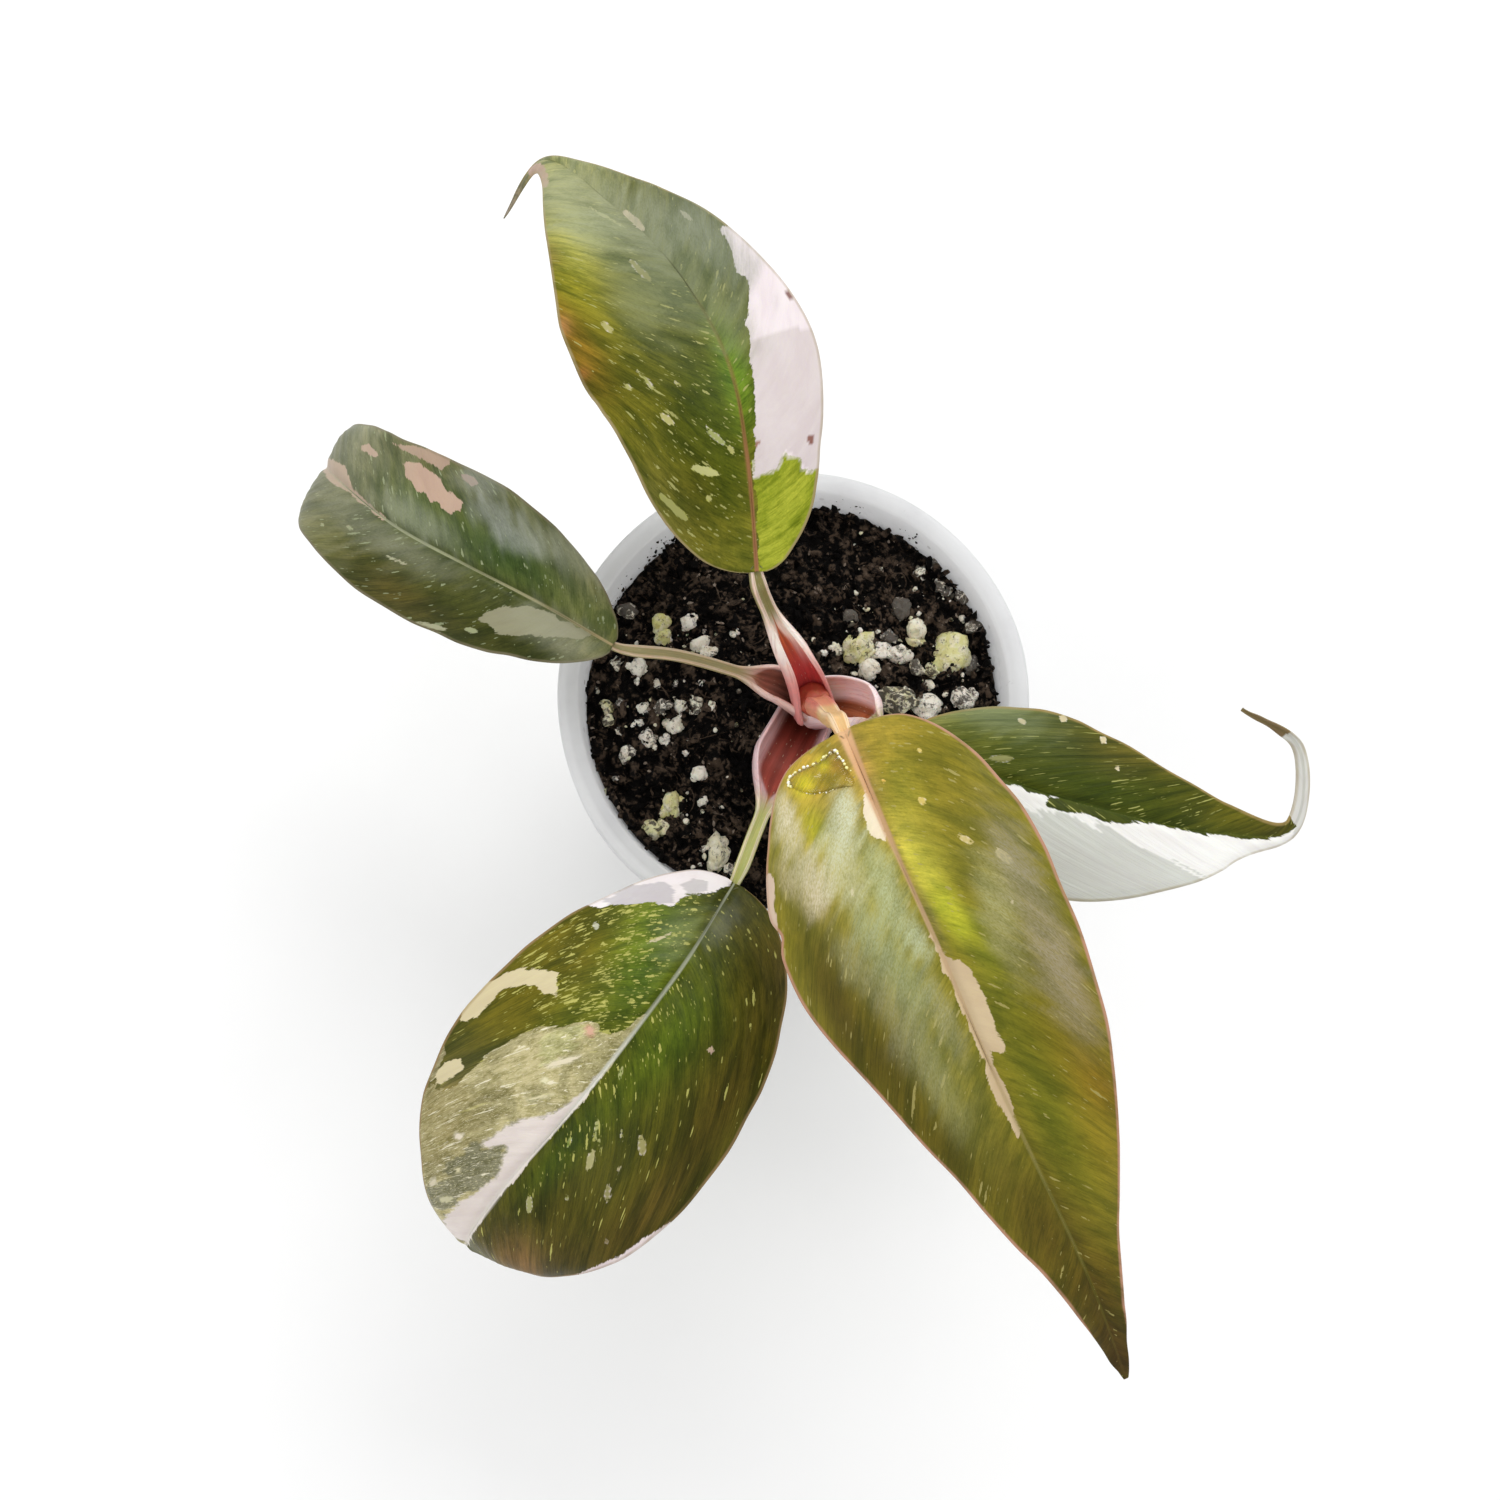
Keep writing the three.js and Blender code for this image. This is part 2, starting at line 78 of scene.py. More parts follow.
def unit(vectors: np.ndarray) -> np.ndarray:
    """Vectors along the last axis, each scaled to a length of one."""
    return vectors / np.linalg.norm(vectors, axis=-1, keepdims=True)


def smoothstep(values: np.ndarray, low: float, high: float) -> np.ndarray:
    """Smooth step from 0 at low to 1 at high."""
    x = np.clip((np.asarray(values, float) - low) / (high - low), 0, 1)
    return x * x * (3 - 2 * x)


def lerp(start: float, end: float, share: np.ndarray) -> np.ndarray:
    """Value at a share of the way from start to end."""
    return start + (end - start) * share


def catmull_rom(padded: np.ndarray, u: np.ndarray) -> np.ndarray:
    """Uniform Catmull-Rom graph through values that have one extra value at each end.

    Args:
        padded: The values, with the extra first and last ones.
        u: Where to read the graph, from 0 at its start to 1 at its end.

    Returns:
        The graph's values, one for each entry of u.
    """
    spans = len(padded) - 3
    x = np.clip(np.asarray(u, float), 0, 1) * spans
    i = np.minimum(x.astype(int), spans - 1)
    f = x - i
    if padded.ndim > 1:
        f = f[:, None]
    a, b, c, d = (padded[i + k] for k in range(4))
    return 0.5 * (2 * b + (c - a) * f + (2 * a - 5 * b + 4 * c - d) * f**2 + (3 * b - a - 3 * c + d) * f**3)


def line_through(points: list[Point], u: np.ndarray) -> np.ndarray:
    """Points at shares u of the smooth line through points, spaced by the line's own points."""
    p = np.asarray(points, float)
    return catmull_rom(np.vstack([2 * p[0] - p[1], p, 2 * p[-1] - p[-2]]), u)


def lengths_along(line: np.ndarray) -> np.ndarray:
    """Distance of each point of a line from its start, measured along the line."""
    return np.concatenate([[0], np.cumsum(np.linalg.norm(np.diff(line, axis=0), axis=1))])


def graph_through(values: list[float], u: np.ndarray) -> np.ndarray:
    """Values at shares u of the smooth graph through evenly spaced values."""
    v = np.asarray(values, float)
    return catmull_rom(np.concatenate([v[:1], v, v[-1:]]), u)


def lattice_noise(x: np.ndarray, y: np.ndarray, seed: int) -> np.ndarray:
    """Smooth random values from -1 to 1 with features about one unit wide.

    Args:
        x: First coordinate of each place.
        y: Second coordinate of each place.
        seed: Chooses the pattern.

    Returns:
        One value for each place.
    """
    side = LATTICE
    table = np.random.default_rng(seed).uniform(-1, 1, (side, side))
    xi, yi = np.floor(x).astype(int), np.floor(y).astype(int)
    fx, fy = x - xi, y - yi
    fx, fy = fx * fx * (3 - 2 * fx), fy * fy * (3 - 2 * fy)
    corner = [[table[(xi + i) % side, (yi + j) % side] for j in (0, 1)] for i in (0, 1)]
    low = corner[0][0] * (1 - fx) + corner[1][0] * fx
    high = corner[0][1] * (1 - fx) + corner[1][1] * fx
    return low * (1 - fy) + high * fy


def random_stream(seed: int) -> Iterator[float]:
    """Repeatable stream of numbers from 0 to 1, the same as the one that shaped the solid soil."""
    state = seed
    while True:
        state = (state * 1664525 + 1013904223) & 0xFFFFFFFF
        yield state / 4294967296


# Meshes


def make_object(
    name: str,
    points: np.ndarray,
    faces: list,
    values: dict[str, np.ndarray] | None = None,
    smooth: bool = True,
) -> bpy.types.Object:
    """Makes a mesh object from points in millimetres.

    Args:
        name: The object's name.
        points: Its points.
        faces: Corner numbers of each face.
        values: Named values at the points: numbers, vectors of three or colours of four.
        smooth: Whether its faces are shaded smoothly.

    Returns:
        The object, linked to the scene.
    """
    mesh = bpy.data.meshes.new(name)
    mesh.from_pydata((np.asarray(points, float) * MM).tolist(), [], faces)
    kinds = {1: ("FLOAT", "value"), 3: ("FLOAT_VECTOR", "vector"), 4: ("FLOAT_COLOR", "color")}
    for key, array in (values or {}).items():
        array = np.asarray(array, np.float32)
        kind, slot = kinds[1 if array.ndim == 1 else array.shape[1]]
        mesh.attributes.new(key, kind, "POINT").data.foreach_set(slot, array.ravel())
    mesh.polygons.foreach_set("use_smooth", [smooth] * len(mesh.polygons))
    mesh.update()
    obj = bpy.data.objects.new(name, mesh)
    bpy.context.scene.collection.objects.link(obj)
    return obj


def make_heap(
    name: str,
    shapes: list[tuple[np.ndarray, np.ndarray]],
    values: dict[str, np.ndarray],
    smooth: bool = True,
) -> bpy.types.Object:
    """Makes one mesh object of many small shapes.

    Args:
        name: The object's name.
        shapes: Points and triangles of each shape.
        values: Named values, one for each shape.
        smooth: Whether its faces are shaded smoothly.

    Returns:
        The object, linked to the scene.
    """
    counts = [len(points) for points, _ in shapes]
    starts = np.cumsum([0, *counts[:-1]])
    faces = np.concatenate([triangles + start for start, (_, triangles) in zip(starts, shapes)])
    spread = {key: np.repeat(array, counts) for key, array in values.items()}
    return make_object(name, np.concatenate([points for points, _ in shapes]), faces.tolist(), spread, smooth)


def face_outwards(obj: bpy.types.Object) -> None:
    """Turns every face of a closed mesh outwards.

    Args:
        obj: The mesh object.
    """
    work = bmesh.new()
    work.from_mesh(obj.data)
    bmesh.ops.recalc_face_normals(work, faces=work.faces)
    work.to_mesh(obj.data)
    work.free()


def loft_faces(rows: int, columns: int, closed_ends: bool = True) -> list:
    """Faces that join rings of points into a tube.

    Args:
        rows: How many rings there are.
        columns: How many points each ring has.
        closed_ends: Whether the first and the last ring are filled.

    Returns:
        Corner numbers of each face.
    """
    i, j = np.meshgrid(np.arange(rows - 1), np.arange(columns), indexing="ij")
    k = (j + 1) % columns
    quads = np.stack([i * columns + j, i * columns + k, (i + 1) * columns + k, (i + 1) * columns + j], -1)
    faces = quads.reshape(-1, 4).tolist()
    if closed_ends:
        faces.append(list(range(columns))[::-1])
        faces.append([(rows - 1) * columns + n for n in range(columns)])
    return faces


# Materials


class Graph:
    """Builds the nodes of one material round its main shader."""

    def __init__(self, name: str) -> None:
        """Starts a material that holds its shader and output alone."""
        self.material = bpy.data.materials.new(name)
        self.material.use_nodes = True
        self.tree = self.material.node_tree
        self.tree.nodes.clear()
        self.shader = self.tree.nodes.new("ShaderNodeBsdfPrincipled")
        self.output = self.tree.nodes.new("ShaderNodeOutputMaterial")
        self.wire(self.output.inputs["Surface"], self.shader.outputs["BSDF"])

    def wire(self, socket: Socket, value: Input) -> None:
        """Links a socket to another one, or sets its own value.

        Args:
            socket: The input to fill.
            value: Another socket, a number, a vector or a colour.
        """
        if isinstance(value, Socket):
            self.tree.links.new(value, socket)
        elif isinstance(value, tuple) and len(value) == 3 and socket.type == "RGBA":
            socket.default_value = (*value, 1)
        else:
            socket.default_value = value

    def add(self, kind: str, inputs: dict, **settings: str) -> bpy.types.Node:
        """Adds a node.

        Args:
            kind: Its type, without the prefix of shader nodes.
            inputs: What its inputs get, by their number or name.
            settings: Its own settings.

        Returns:
            The node.
        """
        node = self.tree.nodes.new("ShaderNode" + kind)
        for key, value in settings.items():
            setattr(node, key, value)
        for key, value in inputs.items():
            self.wire(node.inputs[key], value)
        return node

    def set(self, **inputs: Input) -> None:
        """Sets or links the main shader's inputs, whose names have underscores for spaces."""
        for key, value in inputs.items():
            self.wire(self.shader.inputs[key.replace("_", " ")], value)

    def values(self, name: str, part: str = "Fac") -> Socket:
        """Reads named values of the mesh, as Fac, Vector, Color or Alpha."""
        return self.add("Attribute", {}, attribute_name=name).outputs[part]

    def split(self, vector: Socket) -> list[Socket]:
        """Three parts of a vector."""
        return list(self.add("SeparateXYZ", {0: vector}).outputs)

    def math(self, operation: str, a: Input, b: Input = 0.0, c: Input = 0.0) -> Socket:
        """Result of one sum on numbers."""
        return self.add("Math", {0: a, 1: b, 2: c}, operation=operation).outputs[0]

    def times(self, first: Input, *others: Input) -> Socket:
        """Product of several numbers."""
        return reduce(lambda a, b: self.math("MULTIPLY", a, b), others, first)

    def line(self, value: Input, slope: float, start: Input) -> Socket:
        """Number multiplied by a slope and added to a start."""
        return self.math("MULTIPLY_ADD", value, slope, start)

    def remap(
        self, value: Input, low: float, high: float, to_low: float = 0.0, to_high: float = 1.0
    ) -> Socket:
        """Smooth step of a number between two limits, from one result to another."""
        inputs = dict(enumerate((value, low, high, to_low, to_high)))
        return self.add("MapRange", inputs, interpolation_type="SMOOTHSTEP").outputs[0]

    def mix(self, share: Input, first: Input, second: Input, mode: str = "MIX") -> Socket:
        """Mix of two colours."""
        return self.add("Mix", {0: share, 6: first, 7: second}, data_type="RGBA", blend_type=mode).outputs[2]

    def shaded(self, colour: Input, *layers: tuple) -> Socket:
        """Colour multiplied by tones where noises pass their limits.

        Args:
            colour: The colour.
            layers: For each tone the noise, its two limits, the greatest share and the tone.

        Returns:
            The shaded colour.
        """
        for noise, low, high, most, tone in layers:
            colour = self.mix(self.remap(noise, low, high, 0.0, most), colour, tone, "MULTIPLY")
        return colour

    def noise(
        self, vector: Input, scale: float, detail: float = 3.0, rough: float = 0.55, warp: float = 0.0
    ) -> Socket:
        """Cloudy noise from 0 to 1."""
        names = ("Vector", "Scale", "Detail", "Roughness", "Distortion")
        return self.add("TexNoise", dict(zip(names, (vector, scale, detail, rough, warp)))).outputs["Fac"]

    def cells(self, vector: Input, scale: float, flat: bool = False) -> tuple[Socket, Socket]:
        """Distance to the nearest cell point, and that cell's random colour."""
        inputs = {"Vector": vector, "Scale": scale}
        node = self.add("TexVoronoi", inputs, voronoi_dimensions="2D" if flat else "3D")
        return node.outputs["Distance"], node.outputs["Color"]

    def blend(self, share: Input, shader: str, **inputs: Input) -> None:
        """Mixes another kind of shader with the main one.

        Args:
            share: Share of the other shader.
            shader: Its kind, such as Translucent or Transparent.
            inputs: Its inputs.
        """
        other = self.add("Bsdf" + shader, inputs)
        mixer = self.add("MixShader", {0: share, 1: self.shader.outputs[0], 2: other.outputs[0]})
        self.wire(self.output.inputs["Surface"], mixer.outputs[0])

    def scaled(self, vector: Input, x: float, y: float, z: float = 0.0) -> Socket:
        """Vector multiplied part by part."""
        return self.add("VectorMath", {0: vector, 1: (x, y, z)}, operation="MULTIPLY").outputs[0]

    def place(self) -> Socket:
        """Place on the object, in metres."""
        return self.add("TexCoord", {}).outputs["Object"]

    def bump(
        self, height: Input, depth: float, strength: float = 1.0, normal: Socket | None = None
    ) -> Socket:
        """Surface direction bent by a height from 0 to 1.

        Args:
            height: The height.
            depth: Millimetres that a height of one stands for.
            strength: How much of it shows.
            normal: The direction to bend, or none for the mesh's own.

        Returns:
            The bent direction.
        """
        inputs = {"Strength": strength, "Distance": depth * MM, "Height": height}
        if normal is not None:
            inputs["Normal"] = normal
        return self.add("Bump", inputs).outputs["Normal"]


# Leaves


class Tissue(Enum):
    """Kinds of marking on a leaf."""

    CLEAR = 0  # without green: white, cream or pink
    MARBLED = 1  # pale and flecked
    BRIGHT = 2  # yellow-green


@dataclass(frozen=True)
class Patch:
    """Marking inside an outline. Its corners give the distance along the midrib and across it."""

    tissue: Tissue
    colour: Colour
    jag: float
    outline: tuple[Spot, ...]


@dataclass(frozen=True)
class Streak:
    """Short clear marking along a vein, from one spot to another."""

    start: Spot
    end: Spot
    half_width: float
    colour: Colour


@dataclass(frozen=True)
class Wash:
    """Soft cloud of colour round a spot on a leaf."""

    spot: Spot
    reach: Spot
    colour: Colour
    strength: float


@dataclass(frozen=True)
class LeafFinish:
    """Colours of one leaf: the ground, soft washes over it, its markings, its lines, and its painted sheen.
    """

    ground: Colour
    washes: tuple[Wash, ...]
    patches: tuple[Patch, ...]
    streaks: tuple[Streak, ...]
    rib: tuple[Colour, ...]
    rib_strength: tuple[float, ...]
    margin: Colour
    fleck: Colour
    flecks: float
    fleck_washes: tuple[Wash, ...] = ()
    painted_sheens: tuple[Wash, ...] = ()
    back: Colour = hue("8f9070")
    roughness: float = 0.36
    contrast: float = 0.6
    relief: float = 0.5
    rib_width: tuple[float, ...] = (0.5, 0.4, 0.3)
    quilt: float = 0.04
    groove: float = 1.0
    gloss: float = 0.09
    glitter: float = 0.15
    vein_tilt: float = 0.35

    def ground_at(self, along: np.ndarray, across: np.ndarray) -> np.ndarray:
        """Colour of the green tissue at places on the leaf.

        Args:
            along: Distance of each place along the midrib.
            across: Distance of each place from the midrib.

        Returns:
            One colour for each place.
        """
        colour = np.tile(np.array(self.ground), (len(along), 1))
        for wash in self.washes:
            colour += (np.array(wash.colour) - colour) * self.cloud(wash, along, across)[:, None]
        return colour

    def painted_sheen_at(self, along: np.ndarray, across: np.ndarray) -> np.ndarray:
        """Colour and cover of the painted sheen at places on the leaf: milky reflections of the soft light,
        painted into the colour.

        Args:
            along: Distance of each place along the midrib.
            across: Distance of each place from the midrib.

        Returns:
            Colour and cover for each place.
        """
        sheen = np.zeros((len(along), 4))
        for wash in self.painted_sheens:
            amount = self.cloud(wash, along, across, 1.6, 0.5)
            share = (amount / np.maximum(sheen[:, 3] + amount, 1e-6))[:, None]
            sheen[:, :3] += (np.array(wash.colour) - sheen[:, :3]) * share
            sheen[:, 3] = 1 - (1 - sheen[:, 3]) * (1 - amount)
        return sheen

    def flecks_at(self, along: np.ndarray, across: np.ndarray) -> np.ndarray:
        """Share of the leaf that flecks take, at places on it.

        Args:
            along: Distance of each place along the midrib.
            across: Distance of each place from the midrib.

        Returns:
            One share for each place.
        """
        share = np.full(len(along), self.flecks)
        for wash in self.fleck_washes:
            share += (wash.colour[0] - share) * self.cloud(wash, along, across)
        return share

    @staticmethod
    def cloud(
        wash: Wash, along: np.ndarray, across: np.ndarray, steep: float = 1.0, torn: float = 0.22
    ) -> np.ndarray:
        """Strength of a wash at places on the leaf, with a ragged edge along the veins.

        Args:
            wash: The wash.
            along: Distance of each place along the midrib.
            across: Distance of each place from the midrib.
            steep: How sharply the wash ends.
            torn: How ragged its edge is.

        Returns:
            One strength for each place.
        """
        x = (along - wash.spot[0]) / wash.reach[0]
        y = (across - wash.spot[1]) / wash.reach[1]
        ragged = torn * lattice_noise(along * 0.9 - np.abs(across) * 0.7, across * 0.3, 5)
        return wash.strength * np.exp(-(((x * x + y * y) * (1 + ragged)) ** steep))

    def material(self, name: str) -> bpy.types.Material:
        """Node material of the blade, read from the mesh's values.

        Args:
            name: The material's name.

        Returns:
            The material: markings, flecks, veins, lines and painted sheen.
        """
        g = Graph(name)
        place, vein = g.values("place", "Vector"), g.values("vein", "Vector")
        face, margin = g.split(place)[2], g.split(vein)[2]
        flat, lines = g.scaled(place, 1.0, 1.0), g.scaled(vein, 1.0, 1.0)
        cloud = g.noise(g.scaled(lines, 0.24, 0.12), 1.0, 6.0, 0.64, 0.5)
        grain = g.noise(g.scaled(lines, 1.1, 0.15), 1.0, 5.0, 0.62)
        threads = g.noise(g.scaled(lines, 3.4, 0.3), 1.0, 3.0, 0.6)
        pores = g.noise(g.scaled(lines, 1.0, 0.6), 3.6, 4.0, 0.7)
        green = self.flecked(g, self.green(g, cloud, grain, threads, pores), flat, lines)

        # Markings, whose edges are torn along the veins
        clear, marbled, bright = g.split(g.values("marks", "Vector"))
        tear = g.math("SUBTRACT", g.noise(g.scaled(lines, 2.4, 0.7), 1.0, 4.0, 0.65), 0.5)
        tone = g.values("mark_tint", "Color")
        soft = g.shaded(
            tone,
            (cloud, 0.35, 0.7, 0.8, (0.9, 0.87, 0.88)),
            (grain, 0.45, 0.75, 0.25, (0.88, 0.86, 0.85)),
            (pores, 0.55, 0.8, 0.3, (0.84, 0.8, 0.78)),
        )
        lush = g.shaded(
            tone,
            (cloud, 0.4, 0.62, 1.0, (0.66, 0.72, 0.5)),
            (grain, 0.44, 0.64, 0.75, (0.5, 0.56, 0.3)),
            (threads, 0.5, 0.66, 0.6, (0.55, 0.6, 0.35)),
            (pores, 0.46, 0.7, 1.0, (1.35, 1.22, 1.3)),
        )
        marble = g.noise(g.scaled(lines, 1.0, 0.75), 0.8, 8.0, 0.74, 0.8)
        patchy = g.noise(flat, 0.17, 5.0, 0.62, 0.9)
        worms = g.noise(g.scaled(lines, 1.5, 0.42), 1.0, 4.0, 0.62, 0.9)
        mottled = g.mix(g.remap(patchy, 0.4, 0.62, 0.0, 0.8), tone, g.mix(0.5, tone, green))
        mottled = g.shaded(
            mottled,
            (marble, 0.46, 0.6, 0.85, (0.6, 0.6, 0.44)),
            (threads, 0.5, 0.62, 0.5, (0.66, 0.66, 0.5)),
        )
        mottled = g.mix(g.remap(pores, 0.54, 0.66, 0.0, 0.65), mottled, (0.78, 0.72, 0.44))
        mottled = g.mix(g.remap(worms, 0.6, 0.66, 0.0, 0.8), mottled, (0.86, 0.8, 0.6))
        colour = green
        for edge, tissue in ((bright, lush), (marbled, mottled), (clear, soft)):
            colour = g.mix(g.remap(g.line(tear, 1.0, edge), -0.08, 0.08), colour, tissue)

        # Midrib, margin, painted sheen and the paler lower face
        colour = g.mix(g.values("rib", "Alpha"), colour, g.values("rib", "Color"))
        rim = g.times(g.remap(margin, 0.5, 0.15), g.remap(cloud, 0.25, 0.6, 0.35, 1.0))
        rim = g.times(rim, g.remap(clear, -0.2, 0.2, 1.0, 0.45))
        colour = g.mix(rim, colour, self.margin)
        # Painted sheen: milky reflections mixed into the colour, broken up by fine sparkle
        glint = g.remap(pores, 0.34, 0.64, 1 - self.glitter, 1 + 0.6 * self.glitter)
        glint = g.times(glint, g.remap(cloud, 0.3, 0.7, 0.7, 1.15))
        glint = g.times(glint, g.remap(threads, 0.3, 0.7, 0.85, 1.12))
        colour = g.mix(g.times(g.values("sheen", "Alpha"), glint), colour, g.values("sheen", "Color"))
        under = g.remap(face, 0.1, -0.1)
        back = g.mix(g.remap(clear, -0.3, 0.3, 0.55, 0.1), colour, self.back)
        colour = g.mix(under, colour, back)

        normal = g.bump(pores, 0.035, 0.25 + self.glitter, g.bump(grain, 0.14, self.relief))
        sheen = g.line(cloud, 0.2, self.roughness - 0.1)
        g.set(Base_Color=colour, Roughness=g.line(under, 0.15, sheen), Normal=normal)
        g.set(Subsurface_Weight=0.06, Subsurface_Radius=(0.8, 1.0, 0.3), Subsurface_Scale=0.001)
        g.set(Specular_IOR_Level=self.gloss)
        return g.material

    def green(self, g: Graph, cloud: Socket, grain: Socket, threads: Socket, pores: Socket) -> Socket:
        """Green tissue, mottled at four sizes.

        Args:
            g: The material's nodes.
            cloud: Coarse noise.
            grain: Noise stretched along the veins.
            threads: Finer noise stretched along them.
            pores: Fine noise.

        Returns:
            The colour.
        """
        base, k = g.values("tint", "Color"), self.contrast
        deep = g.mix(k, base, (0.42, 0.5, 0.3), "MULTIPLY")
        light = g.mix(k, base, (1.7, 1.5, 1.25), "MULTIPLY")
        return g.shaded(
            g.mix(g.remap(cloud, 0.34, 0.66), deep, light),
            (grain, 0.46, 0.66, 0.9 * k, (0.6, 0.62, 0.5)),
            (grain, 0.46, 0.3, 0.6 * k, (1.35, 1.3, 1.1)),
            (threads, 0.5, 0.66, 1.1 * k, (0.6, 0.64, 0.5)),
            (threads, 0.46, 0.32, 0.8 * k, (1.4, 1.36, 1.2)),
            (pores, 0.5, 0.34, 0.8 * k, (0.62, 0.64, 0.5)),
            (pores, 0.56, 0.74, 0.8 * k, (1.6, 1.5, 1.2)),
        )

    def flecked(self, g: Graph, colour: Socket, flat: Socket, lines: Socket) -> Socket:
        """Green tissue with three sizes of pale flecks, which lie in loose swarms.

        Args:
            g: The material's nodes.
            colour: The green tissue.
            flat: Coordinates along and across the midrib.
            lines: Coordinates across and along the veins.

        Returns:
            The colour.
        """
        swarm = g.remap(g.noise(flat, 0.3, 3.0, 0.6), 0.4, 0.62, 0.2, 1.8)
        share = g.times(g.values("flecks"), swarm)
        bend = g.noise(lines, 1.9, 3.0, 0.6)
        sizes = ((0.7, 0.28, 0.3, 0.16, 0.7), (1.5, 0.3, 0.34, 0.75, 0.75), (2.8, 0.32, 0.38, 0.7, 0.6))
        for scale, stretch, size, chance, cover in sizes:
            distance, cell = g.cells(g.scaled(lines, 1.0, stretch, 1.0), scale, flat=True)
            lot, breadth, _ = g.split(cell)
            present = g.math("LESS_THAN", lot, g.times(share, chance))
            radius = g.line(g.times(breadth, breadth), size, size * 0.25)
            radius = g.times(radius, g.line(bend, 2.2, -0.1))
            shape = g.remap(g.math("SUBTRACT", radius, distance), -0.06, 0.08)
            colour = g.mix(g.times(shape, present, cover), colour, self.fleck)
        return colour


def nearest_on_line(start: Spot, end: Spot, along: np.ndarray, across: np.ndarray) -> tuple:
    """Nearest points of a straight line to places on a leaf.

    Args:
        start: One end of the line.
        end: Its other end.
        along: First coordinate of each place.
        across: Second coordinate of each place.

    Returns:
        For each place the share of the line at its nearest point, and the distance to that point.
    """
    dx, dy = end[0] - start[0], end[1] - start[1]
    length = max(dx * dx + dy * dy, 1e-12)
    k = np.clip(((along - start[0]) * dx + (across - start[1]) * dy) / length, 0, 1)
    return k, np.hypot(along - start[0] - k * dx, across - start[1] - k * dy)


def inside_distance(outline: tuple[Spot, ...], along: np.ndarray, across: np.ndarray) -> np.ndarray:
    """Distance of places from an outline, positive inside it.

    Args:
        outline: The outline's corners.
        along: First coordinate of each place.
        across: Second coordinate of each place.

    Returns:
        One distance for each place.
    """
    nearest = np.full(len(along), 1e9)
    inside = np.zeros(len(along), bool)
    corners = np.asarray(outline, float)
    for a, b in zip(corners, np.roll(corners, -1, axis=0)):
        nearest = np.minimum(nearest, nearest_on_line(a, b, along, across)[1])
        if a[1] != b[1]:
            crosses = (a[1] > across) != (b[1] > across)
            inside ^= crosses & (along < (b[0] - a[0]) * (across - a[1]) / (b[1] - a[1]) + a[0])
    return np.where(inside, nearest, -nearest)


@dataclass
class LeafForm:
    """Shape of one leaf: the same measures as the solid leaf.

    midrib and petiole: points. left and right: half-widths at nine steps from base to tip. roll: turn about
    the midrib at base, middle and tip, in degrees. fold and droop: slope of each half at the midrib and at
    the margin. lobe: how far the base reaches back. wave: height and number of the margin's waves. stalk,
    foot and middle: radius of the petiole as a stalk, and at the foot and the middle of its sheath. wrap:
    half of the angle that the sheath goes round at its foot. share: how much of the petiole is sheath.
    pinch: how much farther the sheath goes round above its foot. closed: whether the sheath is a solid
    stalk. nicks: row, side and depth of each notch in the margin.
    """

    midrib: list[Point]
    left: list[float]
    right: list[float]
    roll: list[float]
    fold: float
    droop: float
    lobe: float
    wave: Spot
    petiole: list[Point]
    stalk: float
    foot: float
    middle: float
    wrap: float
    share: float
    pinch: float = 0.0
    closed: bool = False
    nicks: tuple[Point, ...] = ()


@dataclass
class Face:
    """One face of a blade before its relief.

    points: places on the middle surface. up: directions out of the upper face. thin: half of the thickness.
    flat: distance along the midrib and across it. vein: number of the side vein and distance along it.
    margin: distance from the margin. t: share of the length.
    """

    points: np.ndarray
    up: np.ndarray
    thin: np.ndarray
    flat: np.ndarray
    vein: np.ndarray
    margin: np.ndarray
    t: np.ndarray


